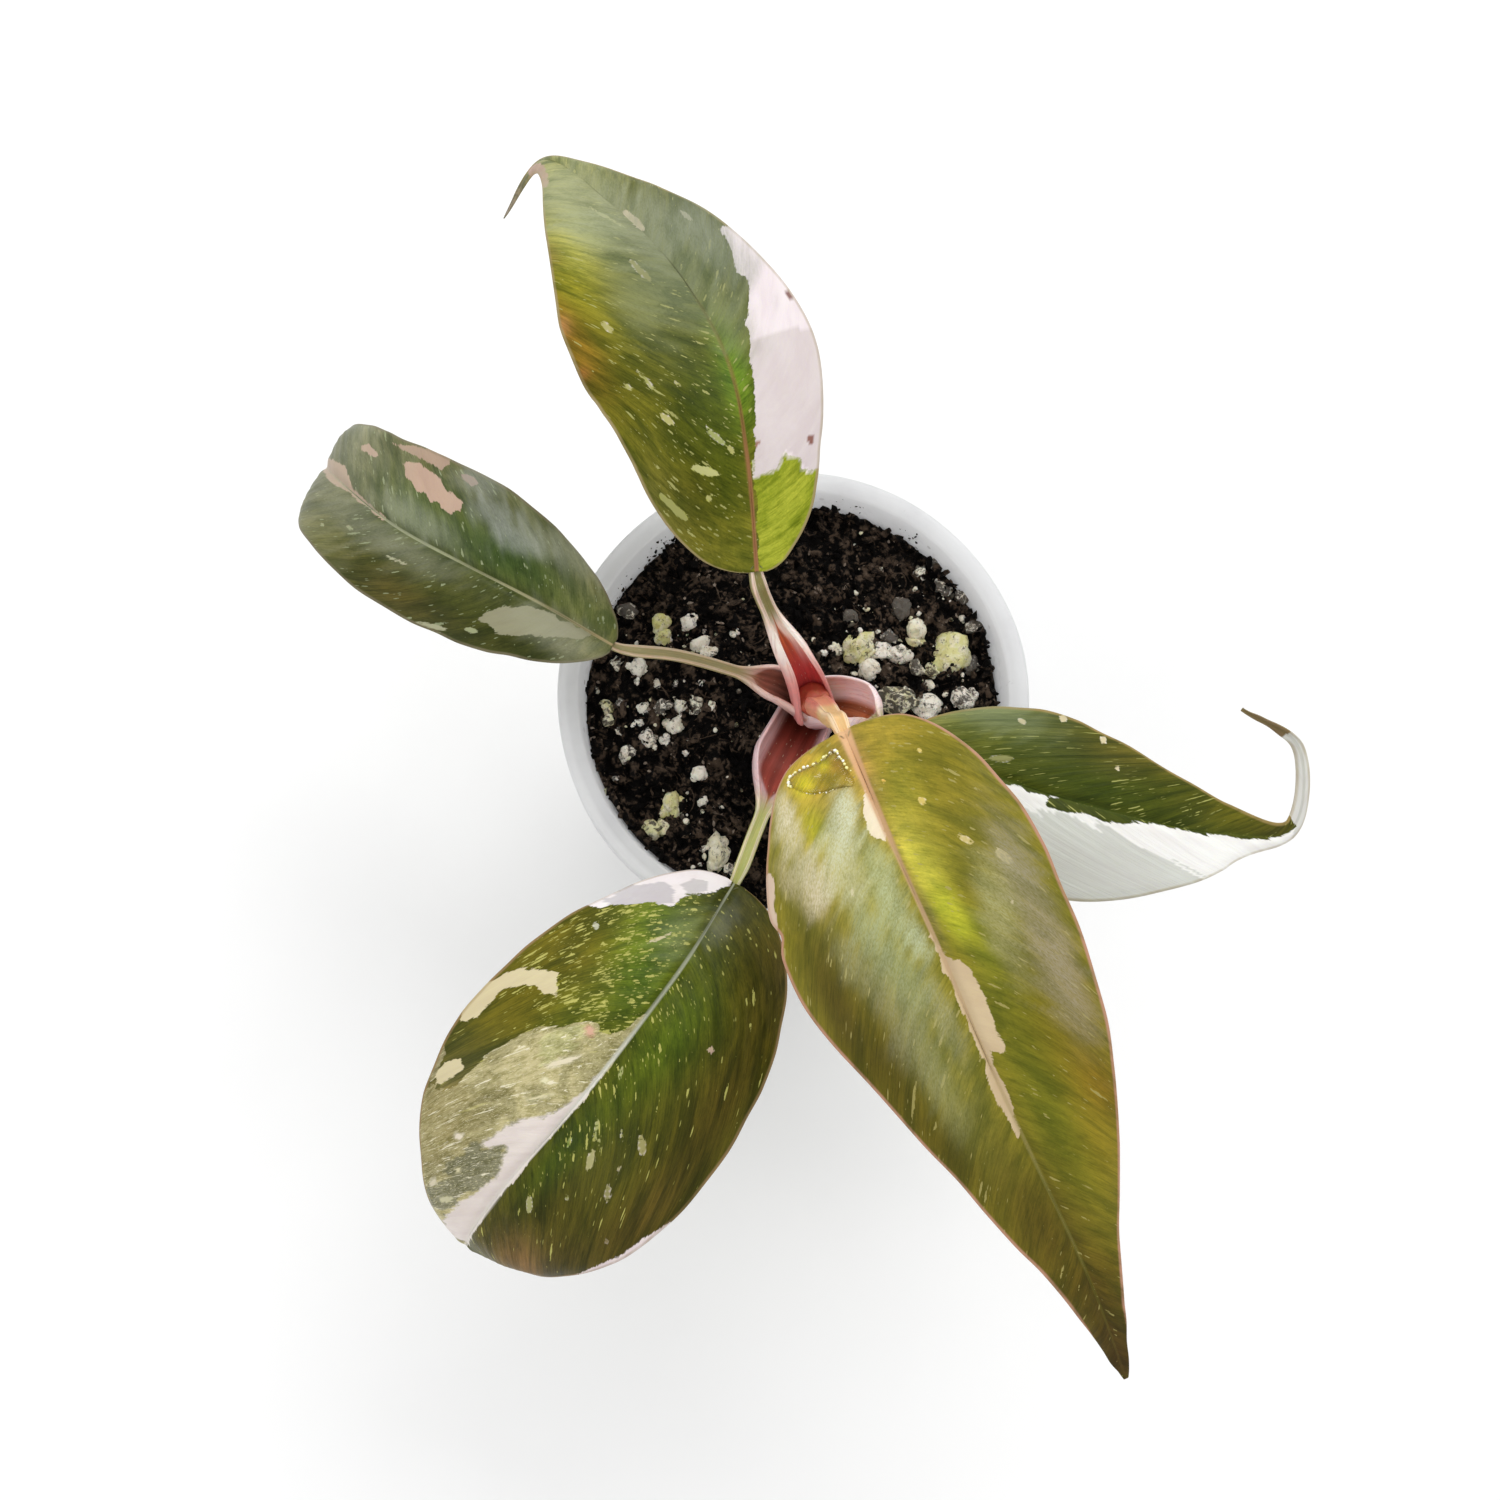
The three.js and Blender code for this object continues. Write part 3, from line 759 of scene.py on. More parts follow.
@dataclass
class Blade:
    """Leaf blade: a thin folded sheet with a grooved midrib, quilted veins and a rounded margin."""

    name: str
    form: LeafForm
    finish: LeafFinish
    rows: int = 250
    half_columns: int = 42
    under_columns: int = 16
    crowding: float = 1.25
    thickness: float = 0.5
    rounding: float = 0.1
    keel: float = 1.1
    foot: float = 1.1
    tip: float = 0.2
    lobe_span: float = 0.35
    lobe_start: float = 0.1
    nick_width: float = 0.012
    vein_step: float = 2.7
    unmarked: Colour = hue("d8cfb0")

    def surface(self, turn: np.ndarray, share: np.ndarray) -> tuple[np.ndarray, np.ndarray, np.ndarray]:
        """Middle surface of the blade.

        Args:
            turn: Rows, from 0 at the base to 1 at the tip.
            share: Columns, from -1 at the left margin to 1 at the right one.

        Returns:
            Points, then distance along the midrib and across it, then share of the length, on the grid.
        """
        form, step = self.form, 1e-3
        t = (1 - np.cos(np.pi * turn)) / 2
        along = unit(line_through(form.midrib, t + step) - line_through(form.midrib, t - step))
        across = unit(np.cross(along[0], [0, 0, 1]))
        level = np.zeros_like(along)
        for i, heading in enumerate(along):
            across = unit(across - heading * (across @ heading))
            level[i] = across
        roll = np.radians(graph_through(form.roll, t))[:, None]
        side = level * np.cos(roll) + np.cross(level, along) * np.sin(roll)
        up = np.cross(side, along)
        widths = []
        for n, halves in enumerate((form.left, form.right)):
            uneven = 0.22 * np.sin(np.pi * turn) * lattice_noise(turn * 26, turn * 0 + 3 * n, 51)
            widths.append(graph_through([self.foot, *halves, self.tip], turn) + uneven)
        for where, which, depth in form.nicks:
            widths[int(which > 0)] -= depth * np.exp(-(((turn - where) / self.nick_width) ** 2))
        fine = np.linspace(0, 1, 1200)
        reach = np.interp(t, fine, lengths_along(line_through(form.midrib, fine)))
        low, high = math.radians(form.fold), math.radians(form.droop)
        middle = line_through(form.midrib, t)
        points = np.zeros((len(turn), len(share), 3))
        flat = np.zeros((len(turn), len(share), 2))
        lobe = np.minimum(1, turn / self.lobe_start) * np.maximum(0, 1 - turn / self.lobe_span) ** 2
        height, count = form.wave
        for j, s in enumerate(share):
            width, q = widths[int(s >= 0)], abs(s)
            slope = low + (high - low) * q
            out = (math.sin(slope) - math.sin(low)) / (high - low)
            rise = (math.cos(low) - math.cos(slope)) / (high - low)
            phase = 0 if s < 0 else 2
            wave = np.sin(np.pi * turn) * height * np.sin(2 * np.pi * count * t + phase) * q * q
            back = form.lobe * lobe * q * q
            points[:, j] = middle + side * (math.copysign(1, s) * width * out)[:, None]
            points[:, j] += up * (width * rise + wave)[:, None] - along * back[:, None]
            flat[:, j] = np.column_stack([reach - back, s * width])
        return points, flat, t

    def face(self, half: np.ndarray, sign: int) -> Face:
        """Lays out one face of the blade.

        Args:
            half: Columns from the midrib to one margin, from 0 to 1.
            sign: 1 for the upper face, -1 for the lower one, whose columns run the other way.

        Returns:
            The face before its relief.
        """
        columns = np.concatenate([-half[::-1], half[1:]])[::sign]
        points, flat, t = self.surface(np.linspace(0, 1, self.rows + 1), columns)
        up = unit(np.cross(np.gradient(points, axis=1) * sign, np.gradient(points, axis=0)))
        out, share = np.abs(flat[..., 1]), np.abs(columns)
        margin = out / np.maximum(share, 1e-6) * (1 - share)
        thin = self.thickness / 2 * (0.45 + 0.55 * smoothstep(margin, 0, 1.6))
        tilt = (self.finish.vein_tilt + 0.75 * t)[:, None]
        number = flat[..., 0] - tilt * (out + 0.05 * out * out)
        vein = np.stack([number + 40 * (flat[..., 1] > 0), out * 1.4], -1)
        return Face(points, up, thin, flat, vein, margin, t)

    def relief(self, face: Face) -> np.ndarray:
        """Height of the upper face over the middle surface: groove, quilting between veins, soft dents.

        Args:
            face: The upper face.

        Returns:
            One height for each point.
        """
        (along, across), (number, run) = np.moveaxis(face.flat, -1, 0), np.moveaxis(face.vein, -1, 0)
        depth = 0.32 * self.finish.groove * (1 - 0.6 * face.t) * smoothstep(face.t, 0.0, 0.05)
        groove = -depth[:, None] * np.exp(-((across / 0.6) ** 2))
        shoulder = 0.12 * self.finish.groove * np.exp(-(((np.abs(across) - 1.3) / 0.7) ** 2))
        wobble = 0.35 * lattice_noise(number * 0.2, run * 0.1, 11)
        fade = smoothstep(np.abs(across), 0.8, 3.5) * smoothstep(face.margin, 0.2, 2.5)
        quilt = self.finish.quilt * np.sin(2 * np.pi * (number / self.vein_step + wobble)) * fade
        dents = 0.22 * lattice_noise(along * 0.13, across * 0.16, 12) * smoothstep(face.margin, 0, 3)
        return groove + shoulder + quilt + dents

    def build(self) -> bpy.types.Object:
        """Builds the blade's mesh with the values that its material reads.

        Returns:
            The blade.
        """
        top = self.face(np.linspace(0, 1, self.half_columns + 1) ** self.crowding, 1)
        low = self.face(np.linspace(0, 1, self.under_columns + 1), -1)
        upper = top.points + top.up * (top.thin + self.relief(top))[..., None]
        rib = self.keel * ((1 - top.t) ** 0.7)[:, None] * np.exp(-((low.flat[..., 1] / 0.8) ** 2))
        lower = low.points - low.up * (low.thin + rib)[..., None]
        right, left = top.points[:, -1:], top.points[:, :1]
        right = right + unit(right - top.points[:, -2:-1]) * self.rounding
        left = left + unit(left - top.points[:, 1:2]) * self.rounding
        ring = np.concatenate([upper, right, lower, left], axis=1)
        flat, vein, margin = (
            np.concatenate([above, above[:, -1:], below, above[:, :1]], axis=1)
            for above, below in ((top.flat, low.flat), (top.vein, low.vein), (top.margin, low.margin))
        )
        side = np.repeat([1.0, 0.3, -1.0, 0.3], [upper.shape[1], 1, lower.shape[1], 1])
        rows, columns = margin.shape
        sides, lengths = np.tile(side, rows), np.repeat(top.t, columns)
        values = self.values(flat.reshape(-1, 2), vein.reshape(-1, 2), margin.ravel(), sides, lengths)
        blade = make_object("leaf_blade_" + self.name, ring.reshape(-1, 3), loft_faces(rows, columns), values)
        face_outwards(blade)
        blade.data.materials.append(self.finish.material("leaf_" + self.name))
        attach(blade, "root")
        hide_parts("blade_" + self.name)
        return blade

    def values(
        self, flat: np.ndarray, vein: np.ndarray, margin: np.ndarray, face: np.ndarray, t: np.ndarray
    ) -> dict[str, np.ndarray]:
        """Values at the points for the material.

        Args:
            flat: Distance along the midrib and across it.
            vein: Vein number and distance along it.
            margin: Distance from the margin.
            face: 1 on the upper face, -1 on the lower one.
            t: Share of the length.

        Returns:
            Named arrays.
        """
        finish, (along, across), (number, run) = self.finish, flat.T, vein.T
        marks = np.full((len(along), 3), -30.0)
        tint = np.tile(np.array(self.unmarked), (len(along), 1))
        best = np.full(len(along), -1e9)
        torn = lattice_noise(number * 0.85, run * 0.2, 21) + 0.6 * lattice_noise(number * 1.9, run * 0.4, 22)
        for patch in finish.patches:
            distance = inside_distance(patch.outline, along, across) + patch.jag * torn
            column = patch.tissue.value
            marks[:, column] = np.maximum(marks[:, column], distance)
            over = distance > -0.3
            tint[over | (distance > best)] = patch.colour
            best = np.where(over, 1e3, np.maximum(best, distance))
        for streak in finish.streaks:
            k, gap = nearest_on_line(streak.start, streak.end, along, across)
            distance = streak.half_width * (1 - 0.6 * np.abs(2 * k - 1) ** 2) - gap + 0.15 * torn
            marks[:, 0] = np.maximum(marks[:, 0], distance)
            tint[distance > -0.2] = streak.colour

        def spread(steps: tuple[float, ...]) -> np.ndarray:
            """Values given in even steps from base to tip, at the points."""
            return np.interp(t, np.linspace(0, 1, len(steps)), steps)

        rib = np.stack([spread(part) for part in zip(*finish.rib)], -1)
        width = spread(finish.rib_width)
        mask = spread(finish.rib_strength) * (1 - smoothstep(np.abs(across), width * 0.55, width * 1.15))
        one = np.ones(len(along))
        return {
            "place": np.column_stack([along, across, face]),
            "vein": np.column_stack([vein, margin + 0.6 * smoothstep(t, 0.86, 0.96)]),
            "marks": marks,
            "mark_tint": np.column_stack([tint, one]),
            "tint": np.column_stack([finish.ground_at(along, across), one]),
            "rib": np.column_stack([rib, mask]),
            "flecks": finish.flecks_at(along, across),
            "sheen": finish.painted_sheen_at(along, across),
        }


# Petioles


@dataclass(frozen=True)
class PetioleFinish:
    """Colours of one petiole, from the foot of its sheath to its blade."""

    stalk: Colour
    line: Colour
    sheath: Colour
    lip: Colour
    inner: Colour
    shade: Colour
    lip_from: float = 0.78
    blush: float = 0.3
    glow: float = 0.0
    warmth: Colour = hue("d25a5c")

    def material(self, name: str) -> bpy.types.Material:
        """Node material of the petiole: lengthwise streaks, fine flecks and a waxy surface.

        Args:
            name: The material's name.

        Returns:
            The material.
        """
        g = Graph(name)
        run = g.values("run", "Vector")
        tint = g.values("tint", "Color")
        streaks = g.noise(g.scaled(run, 0.12, 2.2, 1.0), 1.0, 5.0, 0.65, 0.3)
        cloud = g.noise(g.scaled(run, 0.5, 0.6, 1.0), 1.0, 4.0, 0.6)
        colour = g.shaded(
            tint,
            (streaks, 0.5, 0.68, 0.6, (0.7, 0.54, 0.52)),
            (streaks, 0.46, 0.34, 0.5, (1.3, 1.22, 1.22)),
            (cloud, 0.4, 0.72, 0.6, (1.25, 1.1, 1.0)),
        )
        distance, cell = g.cells(g.scaled(run, 0.5, 1.6, 1.0), 1.6)
        present = g.math("LESS_THAN", g.split(cell)[0], 0.2)
        colour = g.mix(g.times(g.remap(distance, 0.26, 0.16), present, 0.5), colour, self.line)
        g.set(Base_Color=colour, Roughness=g.line(cloud, 0.15, 0.27))
        g.set(Normal=g.bump(streaks, 0.14, 0.7), Specular_IOR_Level=0.4)
        g.set(Subsurface_Weight=0.15, Subsurface_Radius=(1.0, 0.5, 0.3), Subsurface_Scale=0.0015)
        return g.material


@dataclass
class Petiole:
    """Leaf stalk whose foot is an open, winged sheath."""

    name: str
    form: LeafForm
    finish: PetioleFinish
    rows: int = 130
    points: int = 33
    edge_points: int = 5
    stalk_arc: float = 2.4
    groove: float = 0.25
    edge: float = 0.6
    back: float = 1.5
    close: float = 0.16
    lean: float = 0.8
    straight: float = 2.6
    smoothing: int = 170
    sink: float = 0.6

    def centre_line(self) -> np.ndarray:
        """Lays out the centre line, from the stem into the blade's base.

        Returns:
            Its points, evenly spaced.
        """
        base = np.array(self.form.midrib[0], float)
        inner = line_through(self.form.midrib, np.array([0.002, 0.03, 0.06]))
        start = base - self.straight * unit(inner[0] - base)
        course = [*self.form.petiole, tuple(start), tuple(base), *map(tuple, inner[1:])]
        line = self.evenly(line_through(course, np.linspace(0, 1, 1500)))
        for _ in range(self.smoothing):
            line[1:-1] = (line[:-2] + 2 * line[1:-1] + line[2:]) / 4
        return self.evenly(line)

    def evenly(self, line: np.ndarray) -> np.ndarray:
        """Spreads points evenly along a line.

        Args:
            line: The line's points.

        Returns:
            One point for each ring.
        """
        reach = lengths_along(line)
        even = np.linspace(0, reach[-1], self.rows + 1)
        return np.stack([np.interp(even, reach, part) for part in line.T], -1)

    def build(self) -> bpy.types.Object:
        """Builds the petiole's mesh with the values that its material reads.

        Returns:
            The petiole.
        """
        form, centre = self.form, self.centre_line()
        along = unit(np.gradient(centre, axis=0))
        out = np.array(form.midrib[0], float) - np.array(form.petiole[0], float)
        out[2] = 0
        side = unit(np.cross(along, np.array([0, 0, 1.0]) - self.lean * unit(out)))
        up = np.cross(side, along)
        u, reach = np.linspace(0, 1, self.rows + 1), lengths_along(centre)
        solid = smoothstep(u, form.share - self.close, form.share)
        foot = lerp(form.foot, form.middle, u / (form.share / 2))
        above = lerp(form.middle, form.stalk, smoothstep(u, form.share / 2, form.share))
        winged = np.where(u < form.share / 2, foot, above)
        arc = lerp(form.wrap + form.pinch * smoothstep(u, 0.0, form.share * 0.6), self.stalk_arc, solid)
        if form.closed:
            solid = np.ones_like(u)
            winged = lerp(form.foot, form.stalk, smoothstep(u, 0.0, 0.85))
            arc = np.full_like(u, self.stalk_arc)
        last = smoothstep(reach, reach[-1] - 9, reach[-1] - 4.5)
        radius = winged * (1 - 0.3 * last) * (1 - 0.62 * smoothstep(reach, reach[-1] - 5.5, reach[-1]))
        centre = centre - up * (winged * self.sink * last)[:, None]
        across, edge = np.linspace(-1, 1, self.points), np.ones(self.edge_points)
        wall = lerp(self.edge, self.back, np.cos(across * np.pi / 2) ** 2)
        flute = 0.05 * np.cos(across * np.pi * 9)
        faces = np.repeat([-1.0, 0.0, 1.0, 0.0], [self.points, self.edge_points] * 2)
        places = np.concatenate([across, edge, across[::-1], -edge])
        rings, tints, runs = [], [], []
        for i, r in enumerate(radius):
            angle = arc[i] * across
            deep = np.maximum(r - np.minimum(wall, r * 0.8), 0.2)
            flat_x = r * math.sin(arc[i]) * across
            flat_y = -r * math.cos(arc[i]) - self.groove * (1 - across**2)
            inner_x = lerp(deep * np.sin(angle), flat_x, solid[i])
            inner_y = lerp(-deep * np.cos(angle), flat_y, solid[i])
            inner = np.stack([inner_x, inner_y], -1)
            outer = np.stack([(r + flute) * np.sin(angle), -(r + flute) * np.cos(angle)], -1)
            lip, other = self.lip(inner[-1], outer[-1]), self.lip(outer[0], inner[0])
            ring = np.concatenate([inner, lip, outer[::-1], other])
            rings.append(centre[i] + ring[:, :1] * side[i] + ring[:, 1:] * up[i])
            tints.append(self.tint(u[i], solid[i], faces, places))
            runs.append(np.stack([np.full(len(places), reach[i]), places * arc[i] * r, faces * 7], -1))
        points, tint = np.concatenate(rings), np.concatenate(tints)
        values = {"tint": np.column_stack([tint, np.ones(len(tint))]), "run": np.concatenate(runs)}
        shell = loft_faces(self.rows + 1, len(places))
        petiole = make_object("leaf_petiole_" + self.name, points, shell, values)
        face_outwards(petiole)
        petiole.data.materials.append(self.finish.material("petiole_" + self.name))
        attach(petiole, "root")
        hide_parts("petiole_" + self.name)
        return petiole

    def lip(self, start: np.ndarray, end: np.ndarray) -> np.ndarray:
        """Rounds the edge between the two faces of a wall.

        Args:
            start: Last point of one face.
            end: First point of the other one.

        Returns:
            The points between them.
        """
        k = np.linspace(0, 1, self.edge_points + 2)[1:-1, None]
        line = end - start
        out = np.array([-line[1], line[0]])
        return start + line * k + np.sin(k * np.pi) * out * 0.45

    def tint(self, u: float, solid: float, faces: np.ndarray, places: np.ndarray) -> np.ndarray:
        """Colours round one ring of the petiole.

        Args:
            u: Share of the petiole's length.
            solid: 0 in the sheath, 1 in the stalk.
            faces: 1 on the outside, 0 on an edge, -1 on the inside.
            places: -1 to 1 across the section.

        Returns:
            One colour for each point of the ring.
        """
        finish, share, place, face = self.finish, self.form.share, np.abs(places)[:, None], faces[:, None]
        parts = (finish.stalk, finish.line, finish.sheath, finish.lip, finish.inner, finish.shade)
        stalk, pale, sheath, lip, inner, shade = map(np.array, parts)
        outside = lerp(sheath, lip, smoothstep(place, 0.5, 0.95))
        start = finish.lip_from * (1 - float(smoothstep(u, share * 0.6, share * 0.86)))
        rim = smoothstep(place, start, start + 0.22)
        folds = 0.5 + 0.5 * np.cos(places * np.pi * 6.0 + 1.2)[:, None]
        inside = lerp(inner * (0.75 + 0.5 * folds), lip, rim)
        # Towards the foot the inside darkens to the shade colour: partly the tissue's deeper red, partly
        # painted shade deep in the crown
        dark = smoothstep(-u, -0.3, -0.02) * 0.75
        inside = inside + (shade - inside) * dark * (1 - rim)
        sheath = np.where(face > 0.5, outside, np.where(face < -0.5, inside, lip))
        line = np.exp(-(((place - 0.9) / 0.12) ** 2))
        stalk = lerp(stalk, pale, np.clip(line, 0, 1))
        warm = (np.array(finish.warmth) - sheath) * finish.glow * smoothstep(-u, -0.46, -0.2)
        sheath = sheath + np.where(face > -0.5, 0.75, 1.0) * warm
        blush = smoothstep(-u, -finish.blush, -finish.blush + 0.15)
        stalk = stalk + (lip - stalk) * blush * (0.65 + 0.3 * line)
        return lerp(sheath, stalk, solid)


# Pot


@dataclass(frozen=True)
class FrostedPlastic:
    """Thin translucent white plastic with faint moulding lines, scuffs and splashes of soil."""

    colour: Colour = hue("eeeff0")
    smudge: Colour = hue("d6d6d9")
    dirt: Colour = hue("5a4c40")
    roughness: float = 0.38

    def material(self) -> bpy.types.Material:
        """Node material of the pot.

        Returns:
            The material.
        """
        g = Graph("frosted_plastic")
        place = g.place()
        cloud = g.noise(place, 60.0, 5.0, 0.6, 0.4)
        streaks = g.noise(g.scaled(place, 1.0, 1.0, 0.08), 420.0, 3.0, 0.6)
        colour = g.mix(g.remap(cloud, 0.4, 0.75, 0.0, 0.6), self.colour, self.smudge)
        colour = g.mix(g.remap(streaks, 0.5, 0.8, 0.0, 0.25), colour, self.smudge)
        height = g.split(place)[2]
        near_soil = g.times(g.remap(height, 0.0575, 0.0612), g.remap(height, 0.0655, 0.0618))
        blotches = g.noise(place, 700.0, 4.0, 0.65)
        distance, cell = g.cells(place, 620.0)
        speck = g.times(g.remap(distance, 0.32, 0.22), g.math("LESS_THAN", g.split(cell)[0], 0.14))
        inside = g.remap(g.values("inside"), 0.4, 0.6)
        spots = g.times(speck, near_soil, inside)
        haze = g.times(g.remap(blotches, 0.5, 0.72), near_soil, inside)
        colour = g.mix(g.times(haze, 0.28), colour, self.dirt)
        colour = g.mix(g.times(spots, 0.9), colour, self.dirt)
        scraps = g.noise(g.scaled(place, 1.0, 1.0, 0.6), 330.0, 6.0, 0.75, 1.2)
        scraps = g.times(g.remap(scraps, 0.62, 0.66), g.remap(g.noise(place, 75.0, 2.0, 0.5), 0.48, 0.58))
        colour = g.mix(g.times(scraps, inside, 0.85), colour, self.dirt)
        g.set(Base_Color=colour, Roughness=g.line(cloud, 0.2, self.roughness - 0.1))
        g.set(Normal=g.bump(streaks, 0.05, 0.35), IOR=1.49)
        through = g.remap(height, 0.058, 0.0625, 0.35, 0.62)
        g.blend(through, "Translucent", Color=g.mix(0.75, colour, (1.0, 1.0, 1.0)))
        return g.material


@dataclass
class Pot:
    """Nursery pot: a turned shell with a rolled rim, foot ring and drain holes."""

    height: float = 66
    rim_radius: float = 38
    base_radius: float = 27
    wall: float = 1.0
    floor: float = 1.2
    rim_width: float = 2.4
    rim_thickness: float = 0.9
    skirt: float = 6
    sides: int = 160
    holes: int = 6
    hole_radius: float = 2.6
    hole_ring: float = 17
    hole_sides: int = 24

    def inner_radius(self, z: float) -> float:
        """Radius of the inner wall at a height."""
        share = (z - self.floor) / (self.height - self.floor)
        return lerp(self.base_radius, self.rim_radius - self.rim_width, share) - self.wall

    def profile(self) -> list[tuple[float, float, float]]:
        """Outline of the wall from the middle of the underside, over the rim, to the middle of the floor.

        Returns:
            Radius, height, and 1 where the point is inside the pot or 0 where it is outside.
        """
        neck = self.rim_radius - self.rim_width
        top, edge = self.height, self.rim_radius

        def rounded(cx: float, cz: float, r: float, start: float, end: float, n: int, inside: float) -> list:
            """Points of an arc, with angles in degrees from the outward direction."""
            turns = np.radians(np.linspace(start, end, n))
            return [(cx + r * math.cos(a), cz + r * math.sin(a), inside) for a in turns]

        outer = [(0, 0, 0), (self.hole_ring + 6, 0, 0)]
        outer += rounded(self.base_radius - 1, 1, 1, -90, 0, 6, 0)
        low, high = np.array([self.base_radius, 1.0]), np.array([neck, top - self.rim_thickness])
        for share in (0.03, 0.06, 0.12, 0.2, 0.35, 0.5, 0.65, 0.8, 0.9, 0.96):
            x, z = low + (high - low) * share
            outer.append((x, z, 0))
        outer += rounded(neck + 0.3, top - self.rim_thickness - 0.3, 0.3, 180, 90, 4, 0)
        outer += rounded(edge - self.rim_thickness - 0.3, top - self.rim_thickness - 0.3, 0.3, 90, 0, 4, 0)
        foot = top - self.skirt
        outer += [(edge - self.rim_thickness, top - 3, 0)]
        outer += rounded(edge - self.rim_thickness / 2, foot + 0.45, self.rim_thickness / 2, 180, 360, 8, 0)
        outer += [(edge, top - 3, 0)]
        outer += rounded(edge - 0.55, top - 0.55, 0.55, 0, 90, 7, 0)
        lip = [(edge - 1.1, top - 0.04, 0), (edge - 1.5, top - 0.16, 0.5), (edge - 1.9, top - 0.05, 0.5)]
        inner = rounded(neck - self.wall + 0.5, top - 0.5, 0.5, 90, 180, 7, 1)
        for z in (64.4, 63.5, 62.5, 61.5, 60.5, 59, 56, 50, 40, 28, 16, 8, 4):
            inner.append((self.inner_radius(z), z, 1))
        inner += rounded(self.base_radius - 2 * self.wall, self.floor + 1, 1, 0, -90, 6, 1)
        return outer + lip + inner + [(self.hole_ring + 6, self.floor, 1), (0, self.floor, 1)]

    def build(self) -> bpy.types.Object:
        """Builds the pot.

        Returns:
            The pot.
        """
        profile = self.profile()[1:-1]
        turns = np.linspace(0, 2 * np.pi, self.sides, endpoint=False)
        r, z, inward = np.array(profile, float).T
        heights = np.repeat(z[:, None], self.sides, 1)
        rings = np.stack([r[:, None] * np.cos(turns), r[:, None] * np.sin(turns), heights], -1)
        wobble = 0.12 * np.sin(3 * turns + 0.8) + 0.06 * np.sin(7 * turns)
        share = np.clip((rings[..., 2] - 40) / 26, 0, 1)
        rings[..., :2] *= (1 + (wobble / 38) * share)[..., None]
        faces = loft_faces(len(profile), self.sides, closed_ends=False)
        points = rings.reshape(-1, 3)
        inside = np.repeat(inward, self.sides)
        points, faces, inside = self.add_floor(points, faces, inside, len(profile))
        pot = make_object("nursery_pot", points, faces, {"inside": inside})
        face_outwards(pot)
        pot.data.materials.append(FrostedPlastic().material())
        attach(pot, "root")
        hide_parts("pot")
        return pot

    def add_floor(self, points: np.ndarray, faces: list, inside: np.ndarray, rings: int) -> tuple:
        """Closes the two faces of the floor round the drain holes and lines the holes.

        Args:
            points: The wall's points.
            faces: The wall's faces.
            inside: The points' inside values.
            rings: How many rings the wall has.

        Returns:
            Points, faces and inside values with the floor.
        """
        work, shift = bmesh.new(), len(points)
        numbers, hole_rings = [], []

        def ring_of(places: list) -> tuple[list, list]:
            """New corners at places, and the edges that join them in a ring."""
            corners = [work.verts.new(place) for place in places]
            return corners, [work.edges.new(pair) for pair in zip(corners, corners[1:] + corners[:1])]

        r, turns = self.hole_radius, [k / self.hole_sides * 2 * math.pi for k in range(self.hole_sides)]
        for z, first in ((0.0, 0), (self.floor, (rings - 1) * self.sides)):
            edges = ring_of(points[first : first + self.sides])[1]
            numbers += range(first, first + self.sides)
            for h in range(self.holes):
                angle = (h + 0.5) / self.holes * 2 * math.pi
                x, y = math.cos(angle) * self.hole_ring, math.sin(angle) * self.hole_ring
                corners, joins = ring_of([(x + r * math.cos(a), y + r * math.sin(a), z) for a in turns])
                numbers += range(shift + len(numbers), shift + len(numbers) + self.hole_sides)
                edges += joins
                hole_rings.append(corners)
            bmesh.ops.triangle_fill(work, edges=edges, use_beauty=True, normal=(0, 0, 1))
        for low, high in zip(hole_rings[: self.holes], hole_rings[self.holes :]):
            for k in range(self.hole_sides):
                n = (k + 1) % self.hole_sides
                work.faces.new((low[k], low[n], high[n], high[k]))
        work.verts.index_update()
        extra = np.array([v.co[:] for v in work.verts])
        merged = [[numbers[v.index] for v in face.verts] for face in work.faces]
        work.free()
        return (
            np.vstack([points, extra]),
            faces + merged,
            np.concatenate([inside, (extra[:, 2] > self.floor / 2).astype(float)]),
        )


# Potting mix


@dataclass(frozen=True)
class PeatFinish:
    """Damp peat and bark: brown on the crumbs, with a few pale scraps; on the soil's surface the black in the
    hollows is painted shade.
    """

    dark: Colour = hue("050302")
    brown: Colour = hue("55473b")
    light: Colour = hue("a39486")

    def material(self) -> bpy.types.Material:
        """Node material of the peat.

        Returns:
            The material.
        """
        g = Graph("peat")
        place = g.place()
        clods = g.noise(place, 620.0, 6.0, 0.7, 0.6)
        grit = g.noise(place, 1700.0, 4.0, 0.75)
        # The shade value is painted shade on the soil's surface, black in its hollows, and a random tone on
        # the loose bits
        tone = g.line(g.math("SUBTRACT", clods, 0.5), 1.4, g.values("shade"))
        tone = g.line(g.math("SUBTRACT", grit, 0.5), 1.0, tone)
        clumps = g.noise(place, 230.0, 3.0, 0.6, 0.4)
        tone = g.line(g.math("SUBTRACT", clumps, 0.52), 1.3, tone)
        colour = g.mix(g.remap(tone, 0.16, 0.52), self.dark, self.brown)
        colour = g.mix(g.remap(tone, 0.6, 1.05), colour, self.light)
        height = g.line(grit, 0.5, clods)
        damp = g.line(clods, 0.6, 0.3)
        g.set(Base_Color=colour, Roughness=damp, Normal=g.bump(height, 0.9, 1.0), Specular_IOR_Level=0.1)
        return g.material


